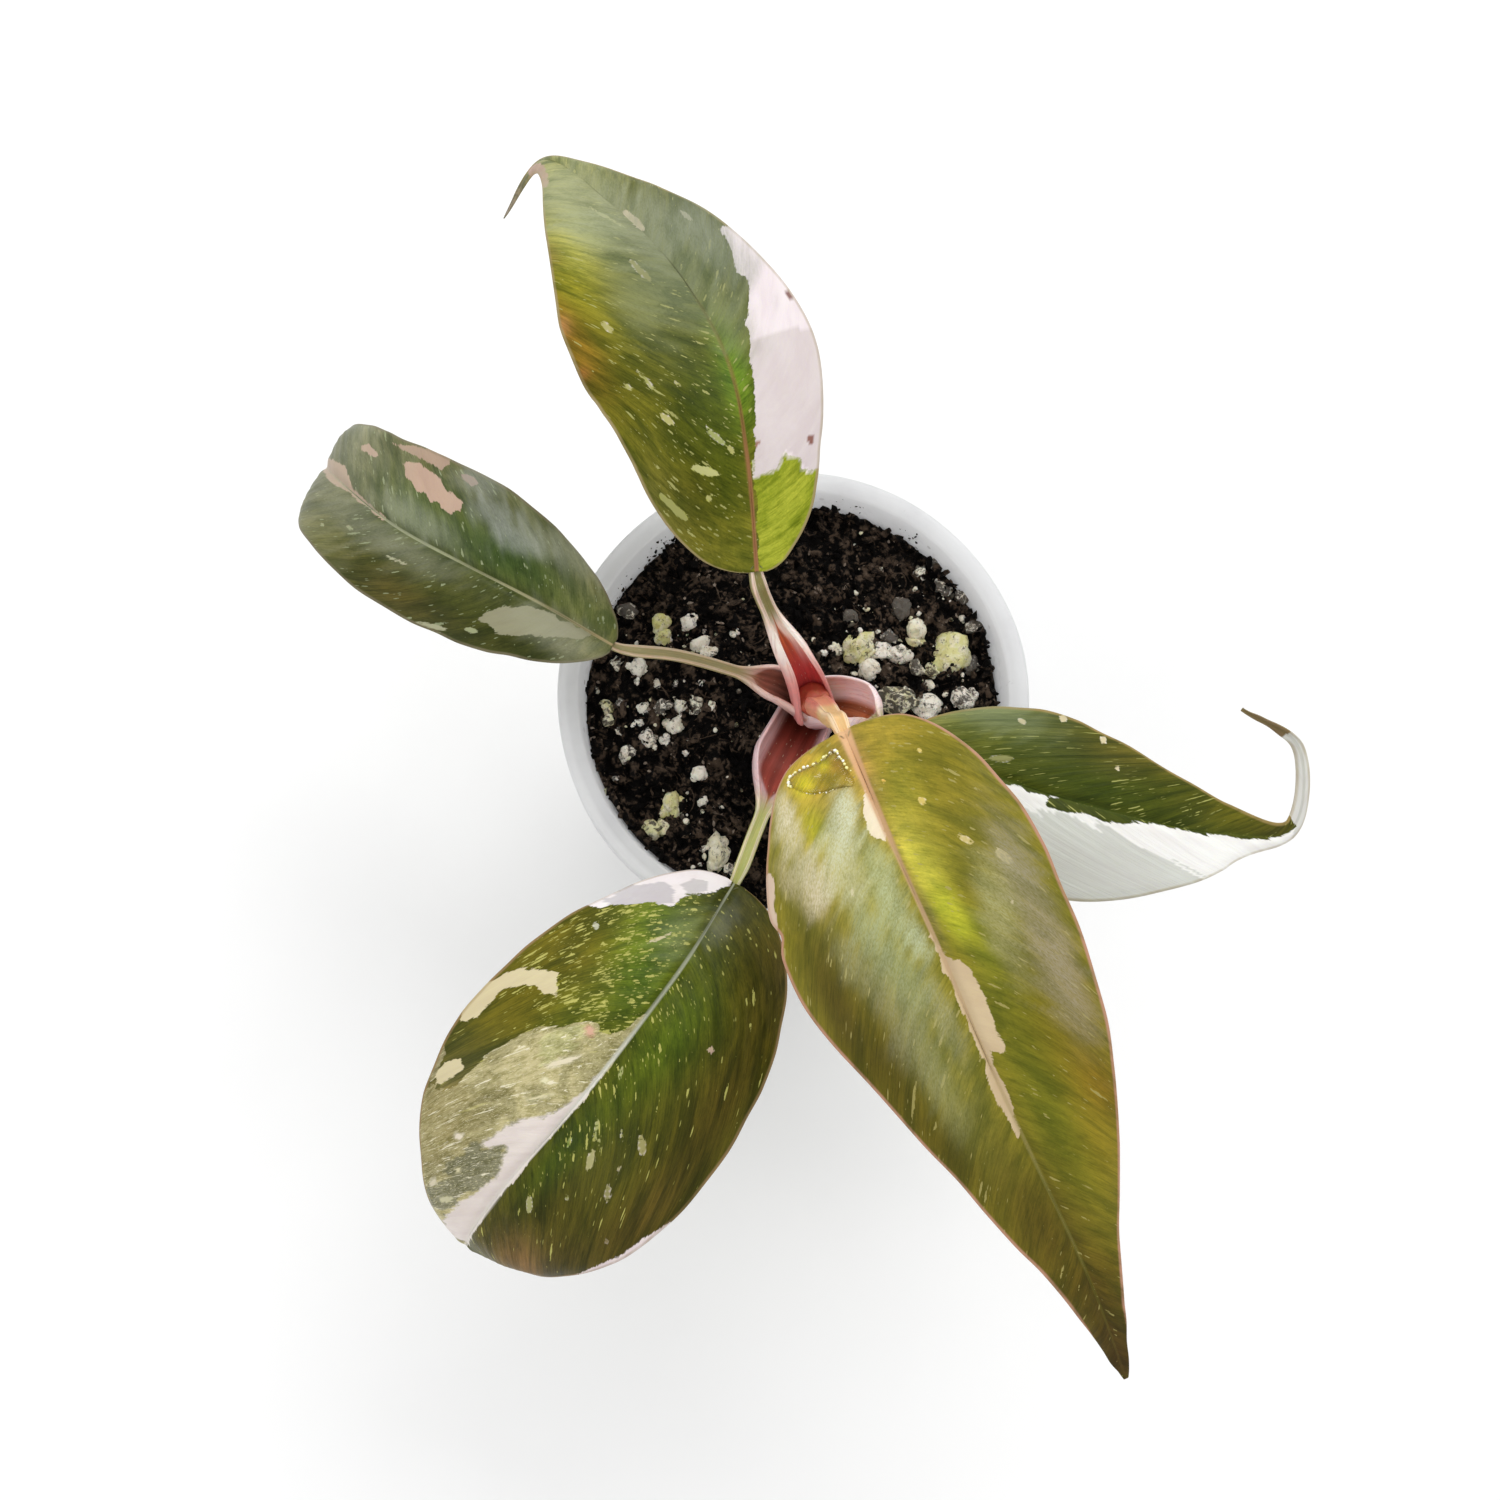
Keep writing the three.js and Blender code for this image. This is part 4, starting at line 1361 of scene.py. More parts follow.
@dataclass(frozen=True)
class PerliteFinish:
    """Porous white grains, some tinged yellow-green, some smeared with peat."""

    white: Colour = hue("f0eadf")
    tinge: Colour = hue("cdc973")
    peat: Colour = hue("2c231b")
    pit: Colour = hue("3c3226")

    def material(self) -> bpy.types.Material:
        """Node material of the perlite.

        Returns:
            The material.
        """
        g = Graph("perlite")
        place = g.place()
        pores = g.noise(place, 1100.0, 5.0, 0.7, 0.3)
        cloud = g.noise(place, 420.0, 3.0, 0.6)
        ripe = g.remap(g.noise(place, 640.0, 3.0, 0.6), 0.36, 0.58, 0.4, 0.95)
        colour = g.mix(g.times(g.values("tinge"), ripe), self.white, self.tinge)
        # Grey-brown blotches at random over the grains
        blotches = g.noise(place, 980.0, 4.0, 0.7, 0.5)
        layers = ((blotches, 0.5, 0.64, 0.55, (0.66, 0.6, 0.5)), (cloud, 0.45, 0.75, 0.5, (0.8, 0.74, 0.6)))
        colour = g.shaded(colour, *layers)
        crust = g.noise(place, 760.0, 5.0, 0.7, 0.8)
        smear = g.line(g.values("dirt"), 0.34, crust)
        colour = g.mix(g.remap(smear, 0.62, 0.72, 0.0, 0.92), colour, self.peat)
        # Painted shade: the pits are darkened brown; painted highlight: the grain is lighter between them
        colour = g.mix(g.remap(pores, 0.56, 0.66, 0.0, 0.85), colour, self.pit)
        colour = g.shaded(colour, (pores, 0.42, 0.3, 0.6, (1.15, 1.15, 1.12)))
        g.set(Base_Color=colour, Roughness=g.line(cloud, 0.2, 0.7))
        g.set(Normal=g.bump(pores, 0.4, 1.0), Subsurface_Weight=0.1, Subsurface_Scale=0.0006)
        return g.material


def lump(level: int) -> tuple[np.ndarray, np.ndarray]:
    """Unit ball that loose grains are shaped from.

    Args:
        level: How often its triangles are divided.

    Returns:
        Its points and triangles.
    """
    work = bmesh.new()
    bmesh.ops.create_icosphere(work, subdivisions=level, radius=1)
    points = np.array([v.co[:] for v in work.verts])
    faces = np.array([[v.index for v in f.verts] for f in work.faces])
    work.free()
    return points, faces


@dataclass
class PottingMix:
    """Soil surface with crumbs, chips and fibres, its plug down to the pot's floor, and the perlite on it."""

    pot: Pot
    level: float = 60.8
    dish: float = 1.0
    edge_dip: float = 1.6
    gap: float = 0.3
    crumb_count: int = 170
    crumb_least: float = 1.6
    crumb_most: float = 3.6
    crumb_height: float = 2.0
    rings: int = 112
    spokes: int = 300
    chips: int = 5000
    edge_chips: int = 700
    stray_chips: int = 80
    knots: int = 12
    fibres: int = 420
    grains: tuple[tuple[float, ...], ...] = (
        (7.6, 9.2, 1.1, 0.3, 0), (10.9, 9.3, 2.2, 0.85, 0.15), (12.5, 5.9, 1.6, 0.1, 0),
        (14.8, 8.9, 1.5, 0.05, 0.3), (17.8, 8.4, 1.5, 0.05, 0.3), (20.5, 12.7, 1.4, 0.4, 0.1),
        (20.8, 10.6, 1.2, 0.7, 0.1), (26.1, 8.6, 2.5, 0.85, 0), (20.7, 5.9, 1.4, 0.2, 0.6),
        (23.4, 5.5, 1.5, 0.6, 0.5), (22.5, 3.2, 0.8, 0.3, 0.1), (16.9, 0.5, 2.8, 0.55, 0.6),
        (22.6, -0.9, 1.9, 0.05, 0.25), (28.2, 0.5, 1.9, 0.05, 0.45), (21.4, 22.3, 1, 0.2, 0.6),
        (23.4, 23.7, 1, 0.1, 0.7), (25.3, 19.5, 1.5, 0.05, 0.75), (28.4, 17.8, 1.4, 0.05, 0.65),
        (30.1, 12.7, 1.4, 0.1, 0.85), (28.3, 14.4, 0.6, 0.1, 0.2), (16.2, 11.3, 1.3, 0.05, 0.85),
        (12.5, 16.2, 0.5, 0.4, 0.1), (10.7, 18.9, 0.4, 0.2, 0.2), (5.3, 8.5, 0.6, 0, 0),
        (9.6, 14.3, 1.4, 0.1, 0.95), (18.3, 16.1, 1.6, 0.1, 0.95), (29.7, 6.6, 1.6, 0.1, 0.85),
        (-27.2, 15.4, 1.6, 0.1, 0.7), (-21.5, 13.2, 1.4, 0.95, 0), (-21.3, 11.2, 1.2, 0.9, 0.1),
        (-16.9, 13.6, 1.2, 0, 0.1), (-15.1, 9.7, 1.3, 0.1, 0.15), (-14, 8.4, 1.2, 0.1, 0.2),
        (-9.4, 11.8, 0.6, 0, 0), (-25.6, 10.2, 0.5, 0, 0.4), (-20.2, 10.9, 0.6, 0, 0.3),
        (-28.9, 6.8, 1.4, 0.1, 0.5), (-25.1, 6.1, 1.4, 0.05, 0), (-25.4, 3.4, 0.5, 0, 0.3),
        (-22.4, 3.3, 0.8, 0, 0.1), (-19.2, 3.3, 0.6, 0, 0.5), (-14.7, 3.3, 0.5, 0, 0.3),
        (-32, 1.9, 0.6, 0.1, 0.6), (-30.3, -0.9, 1.3, 0.8, 0.5), (-30.1, -3.3, 1, 0.5, 0.6),
        (-27.9, -0.1, 1, 0, 0.7), (-24.2, -0.9, 1, 0, 0.25), (-21.4, -0.9, 1.3, 0.05, 0.6),
        (-18.3, -0.7, 1, 0.1, 0.1), (-15.7, -0.5, 1.3, 0.2, 0.4), (-13.1, -0.5, 0.6, 0.2, 0.2),
        (-19.3, -3.7, 1.4, 0.15, 0), (-25, -3.4, 0.6, 0, 0.4), (-23.6, -5.9, 1.2, 0, 0.35),
        (-20.6, -6.4, 0.8, 0, 0.3), (-28.2, -4.9, 0.5, 0, 0.4), (-26.9, -8.7, 1.3, 0.05, 0.55),
        (-17.3, -8.4, 0.5, 0, 0.3), (-15.2, -12.1, 1.1, 0, 0), (-14.6, -16.3, 0.8, 0, 0.2),
        (-19.2, -16.8, 1.6, 0.8, 0), (-20.6, -18.2, 1, 0.9, 0.1), (-22.4, -21.2, 1.5, 0.7, 0.3),
        (-12.2, -25.2, 2.2, 0.4, 0.25), (-9.5, -27.6, 1.4, 0.2, 0.3), (-30, -14.9, 0.5, 0.6, 0.3),
        (-28.6, -12.7, 0.6, 0, 0.6),
    )
    clusters: tuple[tuple[float, float, float, int], ...] = (
        (-18, 9, 5.0, 8), (-22, -3, 6.0, 18), (-18, -18, 4.5, 14), (-13, -26, 3.0, 12), (12, 7, 5.0, 14),
        (24, 4, 5.0, 24), (22, 19, 5.0, 20), (0, 0, 26, 90),
    )

    def __post_init__(self) -> None:
        """Lays out the large crumbs, in the same places as on the solid soil."""
        stream = random_stream(SEED)
        edge = self.pot.inner_radius(self.level)
        self.crumbs = []
        for _ in range(self.crumb_count):
            angle = next(stream) * 2 * math.pi
            distance = math.sqrt(next(stream)) * edge
            radius = lerp(self.crumb_least, self.crumb_most, next(stream))
            height = (next(stream) - 0.3) * self.crumb_height
            self.crumbs.append((math.cos(angle) * distance, math.sin(angle) * distance, radius, height))

    def height(self, x: np.ndarray, y: np.ndarray) -> np.ndarray:
        """Height of the surface without its fine relief.

        Args:
            x: First coordinate of each place.
            y: Second coordinate of each place.

        Returns:
            One height for each place.
        """
        share = np.hypot(x, y) / self.pot.inner_radius(self.level)
        z = self.level - self.dish * (1 - share**2) - self.edge_dip * smoothstep((y - x) / 2, 12, 26)
        for cx, cy, radius, height in self.crumbs:
            d = np.hypot(x - cx, y - cy) / radius
            z = z + np.where(d < 1, height * (1 - np.minimum(d, 1) ** 2) ** 2, 0)
        return z

    def clods(self, x: np.ndarray, y: np.ndarray) -> np.ndarray:
        """Height of the fine clods over the surface."""
        fine = 0.55 * lattice_noise(x * 0.9, y * 0.9, 31) + 0.42 * lattice_noise(x * 2.1, y * 2.1, 32)
        return fine + 0.22 * lattice_noise(x * 4.3, y * 4.3, 33) - 0.2

    def rough_height(self, x: np.ndarray, y: np.ndarray) -> np.ndarray:
        """Height of the surface with its fine clods."""
        return self.height(x, y) + self.clods(x, y)

    def build(self) -> list[bpy.types.Object]:
        """Builds the soil, its loose bits and the perlite.

        Returns:
            The three pieces.
        """
        pieces = [self.build_plug(), self.build_bits(), self.build_perlite()]
        for piece, slot in zip(pieces, ("potting_mix", "potting_mix", "perlite")):
            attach(piece, "root")
        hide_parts("soil")
        return pieces

    def build_plug(self) -> bpy.types.Object:
        """Builds the plug of soil that fills the pot.

        Returns:
            The plug.
        """
        turns = np.linspace(0, 2 * np.pi, self.spokes, endpoint=False)
        edge = self.pot.inner_radius(self.level) - self.gap
        radii = np.linspace(0.02, 1, self.rings) * edge
        x, y = radii[:, None] * np.cos(turns), radii[:, None] * np.sin(turns)
        z = self.rough_height(x, y)
        coarse, fine = lattice_noise(turns * 9, turns * 0, 41), lattice_noise(turns * 23, turns * 0, 42)
        z[-1] += 0.5 * coarse + 0.3 * fine - 0.4
        surface = np.stack([x, y, z], -1)
        foot = self.pot.floor + self.gap
        down = []
        for height, inset in ((56.0, 0), (40.0, 0), (20.0, 0), (foot + 1, 0), (foot, 1)):
            r = self.pot.inner_radius(height) - self.gap - inset
            down.append(np.stack([r * np.cos(turns), r * np.sin(turns), np.full(self.spokes, height)], -1))
        rings = np.concatenate([surface, np.array(down)])
        points = rings.reshape(-1, 3)
        # Painted shade: black where the fine clods dip, browner on their tops
        shade = 0.5 * smoothstep(self.clods(points[:, 0], points[:, 1]), -0.55, 0.4)
        plug = make_object("potting_mix", points, loft_faces(len(rings), self.spokes), {"shade": shade})
        face_outwards(plug)
        plug.data.materials.append(PeatFinish().material())
        return plug

    def build_bits(self) -> bpy.types.Object:
        """Builds the chips, clods and fibres that lie loose on the soil.

        Returns:
            The bits as one mesh.
        """
        rng = np.random.default_rng(SEED)
        ball, triangles = lump(1)
        edge = self.pot.inner_radius(self.level) - 0.8
        count = self.chips + self.edge_chips + self.stray_chips
        rim, stray = slice(self.chips, count), slice(count - self.stray_chips, count)
        angle, distance = rng.uniform(0, 2 * np.pi, count), np.sqrt(rng.uniform(size=count)) * edge
        knot_angle = rng.normal(0, 0.17, self.knots) + np.where(np.arange(self.knots) < 8, 2.35, 1.0)
        knots = np.column_stack([knot_angle, rng.uniform(59.5, 64.5, self.knots)])
        knot = knots[rng.integers(0, self.knots, self.stray_chips)]
        angle[stray] = knot[:, 0] + rng.normal(0, 0.035, self.stray_chips)
        climb = 3.0 * np.maximum(0, lattice_noise(angle * 6, angle * 0, 43) + 0.15) * rng.uniform(size=count)
        distance[rim] = edge - rng.uniform(0, 0.5, count - self.chips) + climb[rim] * 0.13
        small = rng.uniform(size=count) < np.where(np.arange(count) < self.chips, 0.88, 0.6)
        size = np.where(small, rng.uniform(0.14, 0.4, count), rng.uniform(0.4, 0.9, count))
        size[stray] = 0.08 + 0.34 * rng.uniform(size=self.stray_chips) ** 2
        x, y = np.cos(angle) * distance, np.sin(angle) * distance
        z = self.rough_height(x, y) + size * rng.uniform(0.1, 0.6, count)
        z[rim] += climb[rim]
        z[stray] = np.clip(knot[:, 1] + rng.normal(0, 0.7, self.stray_chips), 59, 65)
        wall = self.pot.inner_radius(z[stray]) - 0.05
        x[stray], y[stray] = np.cos(angle[stray]) * wall, np.sin(angle[stray]) * wall
        lot, dull = rng.uniform(size=count), rng.uniform(0.1, 0.4, count)
        shade = np.select([lot < 0.4, lot < 0.84, lot < 0.96], [0 * lot, dull, dull + 0.3], 0.95)
        shade = np.where(small, shade, np.minimum(shade, 0.35))
        shapes = []
        for n in range(count):
            knobs = sum(np.sin(ball @ rng.normal(size=(3, 1)) * k + rng.uniform(0, 6)) for k in (2.2, 4.1))
            shape = ball * (1 + 0.22 * knobs) * rng.uniform((0.8, 0.5, 0.35), (2.0, 1.0, 0.8)) * size[n]
            shapes.append((shape @ self.turned(rng).T + (x[n], y[n], z[n]), triangles))
        shades = list(shade)
        for _ in range(self.fibres):
            shapes.append(self.fibre(rng, edge))
            shades.append(rng.uniform(0.1, 0.55))
        bits = make_heap("bark_and_fibres", shapes, {"shade": shades}, smooth=False)
        bits.data.materials.append(PeatFinish().material())
        return bits

    @staticmethod
    def turned(rng: np.random.Generator) -> np.ndarray:
        """Random turn, mostly about the upright."""
        spin, tip, lean = rng.uniform(0, 2 * np.pi), rng.normal() * 0.4, rng.normal() * 0.4
        turn = Matrix.Rotation(spin, 3, "Z") @ Matrix.Rotation(tip, 3, "X") @ Matrix.Rotation(lean, 3, "Y")
        return np.array(turn)

    def fibre(self, rng: np.random.Generator, edge: float) -> tuple[np.ndarray, np.ndarray]:
        """Lays one curved fibre on the soil.

        Args:
            rng: The source of random numbers.
            edge: Radius of the soil's surface.

        Returns:
            Its points and triangles.
        """
        angle, distance = rng.uniform(0, 2 * np.pi), math.sqrt(rng.uniform()) * (edge - 3)
        steps, sides = 8, 4
        turn = rng.uniform(0, 2 * np.pi) + rng.normal() * 0.25 * np.arange(steps + 1)
        length, radius = rng.uniform(1.2, 4.5), rng.uniform(0.06, 0.16)
        place = np.cumsum(np.column_stack([np.cos(turn), np.sin(turn)]), axis=0) * length / steps
        place += np.array([math.cos(angle), math.sin(angle)]) * distance
        place *= np.minimum(1, edge / np.hypot(place[:, 0], place[:, 1]))[:, None]
        share = np.arange(steps + 1) / steps
        z = self.rough_height(place[:, 0], place[:, 1]) + 0.25 + 0.25 * np.sin(share * np.pi)
        across = np.column_stack([-np.sin(turn), np.cos(turn), 0 * turn])[:, None]
        thin = (radius * (1 - 0.6 * np.abs(2 * share - 1)))[:, None, None]
        around = (np.arange(sides) / sides * 2 * np.pi)[:, None]
        ring = thin * (np.cos(around) * across + np.sin(around) * np.array([0, 0, 1]))
        points = (np.column_stack([place, z])[:, None] + ring).reshape(-1, 3)
        quads = np.array(loft_faces(steps + 1, sides, closed_ends=False))
        return points, np.concatenate([quads[:, [0, 1, 2]], quads[:, [0, 2, 3]]])

    def build_perlite(self) -> bpy.types.Object:
        """Builds the perlite: large lobed grains and small ones in groups round them.

        Returns:
            The perlite as one mesh.
        """
        rng = np.random.default_rng(SEED + 7)
        places = []
        for x, y, r, tinge, dirt in self.grains:
            r *= 1.12 if dirt < 0.5 else 0.95
            places.append((x, y, r * 0.92, tinge, dirt))
            for turn in rng.uniform(0, 2 * np.pi, 4):
                reach, size = r * rng.uniform(0.35, 0.8), r * rng.uniform(0.3, 0.62)
                lobe = (x + math.cos(turn) * reach, y + math.sin(turn) * reach, size)
                places.append((*lobe, tinge * rng.uniform(0.5, 1.2), dirt + rng.normal() * 0.12))
        for x, y, spread, count in self.clusters:
            for _ in range(count):
                dx, dy = rng.normal(size=2) * spread * 0.55
                if np.hypot(x + dx, y + dy) < 32.5:
                    size = 0.14 + 0.4 * rng.uniform() ** 2
                    places.append((x + dx, y + dy, size, rng.uniform(0, 0.9) ** 2, rng.uniform(0, 0.8)))
        x, y, radius, tinge, dirt = np.array(places).T
        z = self.rough_height(x, y) + radius * 0.2
        coarse, fine = lump(2), lump(3)
        shapes = []
        for n, r in enumerate(radius):
            ball, triangles = fine if r > 0.5 else coarse
            cuts = rng.uniform(0.66, 1.0, 10) / np.maximum(ball @ unit(rng.normal(size=(10, 3))).T, 0.2)
            bumps = np.minimum(cuts.min(axis=1, keepdims=True), 1.15)
            for k, amount in ((2.4, 0.1), (5.5, 0.09), (9.5, 0.05)):
                wave = ball @ rng.normal(size=(3, 3)) * k
                bumps = bumps + amount * np.sin(wave + rng.uniform(0, 6, 3)).sum(axis=1, keepdims=True) / 1.7
            shape = ball * bumps * r * rng.uniform((0.95, 0.9, 0.6), (1.4, 1.2, 0.85))
            shapes.append((shape @ self.turned(rng).T + (x[n], y[n], z[n]), triangles))
        perlite = make_heap("perlite", shapes, {"tinge": tinge, "dirt": dirt})
        perlite.data.materials.append(PerliteFinish().material())
        return perlite


# Stem and roots


@dataclass(frozen=True)
class Bark:
    """Streaked skin of the roots."""

    pale: Colour
    dark: Colour
    name: str

    def material(self) -> bpy.types.Material:
        """Node material with lengthwise streaks.

        Returns:
            The material.
        """
        g = Graph(self.name)
        place = g.place()
        streaks = g.noise(g.scaled(place, 1.0, 1.0, 0.25), 900.0, 4.0, 0.6, 0.4)
        cloud = g.noise(place, 260.0, 3.0, 0.6)
        colour = g.mix(g.remap(streaks, 0.35, 0.7), self.dark, self.pale)
        colour = g.mix(g.remap(cloud, 0.5, 0.75, 0.0, 0.4), colour, self.dark)
        g.set(Base_Color=colour, Roughness=g.line(cloud, 0.25, 0.45), Normal=g.bump(streaks, 0.15, 0.7))
        return g.material


@dataclass
class Stem:
    """Short main stem with leaf scars, green at its foot and flushed red under the youngest petiole."""

    line: tuple[Point, ...] = ((3.2, 0.4, 50.0), (3.1, -0.8, 62.0), (2.7, -2.2, 74.4))
    foot: float = 3.4
    top: float = 2.5
    rows: int = 120
    sides: int = 48
    scars: int = 6
    skin: Colour = hue("8f8c46")
    scar: Colour = hue("5f5a34")
    flush: Colour = hue("b4513c")

    def build(self) -> bpy.types.Object:
        """Builds the stem in place of its solid.

        Returns:
            The stem.
        """
        u = np.linspace(0, 1, self.rows + 1)
        centre = line_through(list(self.line), u)
        turns = np.linspace(0, 2 * np.pi, self.sides, endpoint=False)
        phase = u[:, None] * self.scars + 0.15 * np.sin(turns + 1.0)
        scar = np.exp(-(((phase % 1.0 - 0.5) / 0.09) ** 2))
        radius = lerp(self.foot, self.top, u)[:, None] * (1 - 0.55 * smoothstep(u, 0.93, 1.0))[:, None]
        radius = radius + 0.16 * scar * (u < 0.9)[:, None] - 0.05 * np.cos(turns * 9)
        out = np.stack([np.cos(turns), np.sin(turns), np.zeros(self.sides)], -1)
        points = centre[:, None] + radius[..., None] * out
        flush = smoothstep(np.repeat(u[:, None], self.sides, 1), 0.55, 0.85)
        values = {"scar": scar.ravel(), "flush": flush.ravel()}
        stem = make_object("main_stem", points.reshape(-1, 3), loft_faces(self.rows + 1, self.sides), values)
        face_outwards(stem)
        stem.data.materials.append(self.material())
        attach(stem, "root")
        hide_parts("stem")
        return stem

    def material(self) -> bpy.types.Material:
        """Node material with lengthwise streaks, darker scars and the red flush.

        Returns:
            The material.
        """
        g = Graph("stem_skin")
        place = g.place()
        streaks = g.noise(g.scaled(place, 1.0, 1.0, 0.25), 900.0, 4.0, 0.6, 0.4)
        colour = g.mix(g.remap(streaks, 0.35, 0.7, 0.0, 0.7), self.skin, (0.42, 0.42, 0.12))
        colour = g.mix(g.times(g.values("scar"), 0.8), colour, self.scar)
        colour = g.mix(g.times(g.values("flush"), g.remap(streaks, 0.2, 0.6, 0.75, 1.0)), colour, self.flush)
        g.set(Base_Color=colour, Roughness=g.line(streaks, 0.25, 0.4), Normal=g.bump(streaks, 0.15, 0.7))
        return g.material


# Water


@dataclass
class WaterDrop:
    """Shallow pool of water that lies near the base of the front leaf, with beads along its edge."""

    blade: Blade
    outline: tuple[Spot, ...] = (
        (3.3, 9.5), (2.9, 8.2), (3, 6.5), (3, 4.7), (2.5, 3.2), (2.3, 2.2), (3.5, 1.9), (4.9, 1.7),
        (6.8, 1.4), (8, 1.2), (8.7, 1.6), (8.4, 2.6), (8.1, 3.8), (7.8, 5.3), (7.2, 7.1), (6, 8.5),
        (4.6, 9.5),
    )
    rings: int = 22
    sides: int = 96
    depth: float = 0.75
    low_edge: tuple[int, int] = (50, 90)

    def build(self) -> list[bpy.types.Object]:
        """Builds the pool as a smooth dome over its outline on the leaf.

        Returns:
            The pool and its beads.
        """
        points, flat, _ = self.blade.surface(np.linspace(0, 0.5, 400), np.linspace(0, 1, 121))
        up = unit(np.cross(np.gradient(points, axis=1), np.gradient(points, axis=0)))
        loop = [(x, y, 0) for x, y in (*self.outline, self.outline[0])]
        fine = line_through(loop, np.linspace(0, 1, self.sides + 1)[:-1])[:, :2]
        centre, k = fine.mean(axis=0), np.linspace(1, 0.02, self.rings)
        spots = centre + (fine - centre) * k[:, None, None]
        where = np.zeros((self.rings, self.sides, 3))
        lift = np.zeros_like(where)
        for spot in np.ndindex(self.rings, self.sides):
            d = (flat[..., 0] - spots[spot][0]) ** 2 + (flat[..., 1] - spots[spot][1]) ** 2
            nearest = np.unravel_index(d.argmin(), d.shape)
            where[spot], lift[spot] = points[nearest], up[nearest]
        dome = self.depth * np.sqrt(np.maximum(1 - k[:, None] ** 3, 0))
        base = self.blade.thickness / 2 + 0.02
        top = where + lift * (base + dome)[..., None]
        shell = np.concatenate([(where + lift * base)[::-1], top]).reshape(-1, 3)
        pool = make_object("water_pool", shell, loft_faces(2 * self.rings, self.sides))
        face_outwards(pool)
        pool.data.materials.append(self.clear_water())
        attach(pool, "root")
        return [pool, self.build_beads(where[0] + lift[0] * base, lift[0])]

    def build_beads(self, places: np.ndarray, lift: np.ndarray) -> bpy.types.Object:
        """Builds the beads of water that sit along the pool's edge.

        Args:
            places: Points along the edge.
            lift: Directions out of the leaf there.

        Returns:
            The beads as one mesh.
        """
        rng = np.random.default_rng(SEED + 3)
        ball, triangles = lump(2)
        shapes, tones = [], []
        low_edge = range(*self.low_edge)
        for i in range(0, len(places), 2):
            radius = rng.uniform(0.06, 0.12) if i in low_edge else rng.uniform(0.16, 0.32)
            shape = ball * radius * np.array([1.0, 1.0, 0.8]) + places[i] + lift[i] * radius * 0.3
            shapes.append((shape + rng.normal(size=3) * 0.08, triangles))
            tones.append(rng.uniform())
        beads = make_heap("water_beads", shapes, {"tone": tones})
        g = Graph("water_beads")
        tone = g.values("tone")
        # Painted sparkle: the beads are coloured bright white and yellow for glints of light, a few dark
        # brown for the dark dots between them
        colour = g.mix(g.remap(tone, 0.2, 0.6), (0.9, 0.85, 0.35), (0.97, 0.95, 0.85))
        colour = g.mix(g.remap(tone, 0.8, 0.86), colour, (0.3, 0.2, 0.03))
        cloud = g.noise(g.place(), 2500.0, 2.0, 0.5)
        g.set(Base_Color=colour, Roughness=g.line(cloud, 0.1, 0.03), Specular_IOR_Level=0.8)
        beads.data.materials.append(g.material)
        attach(beads, "root")
        return beads

    @staticmethod
    def clear_water() -> bpy.types.Material:
        """Node material of the pool: see-through, with a mirror-like gloss at grazing angles.

        Returns:
            The material.
        """
        g = Graph("water")
        tremble = g.noise(g.place(), 700.0, 3.0, 0.55)
        tint = g.mix(tremble, (1.0, 0.98, 0.72), (1.0, 1.0, 0.92))
        gloss = g.tree.nodes.new("ShaderNodeFresnel")
        gloss.inputs["IOR"].default_value = 1.33
        normal = g.bump(tremble, 0.15, 0.6)
        g.wire(gloss.inputs["Normal"], normal)
        g.set(Base_Color=(1.0, 1.0, 1.0), Metallic=1.0, Roughness=g.times(tremble, 0.06), Normal=normal)
        g.blend(g.math("SUBTRACT", 1.0, gloss.outputs[0]), "Transparent", Color=tint)
        return g.material


# Studio


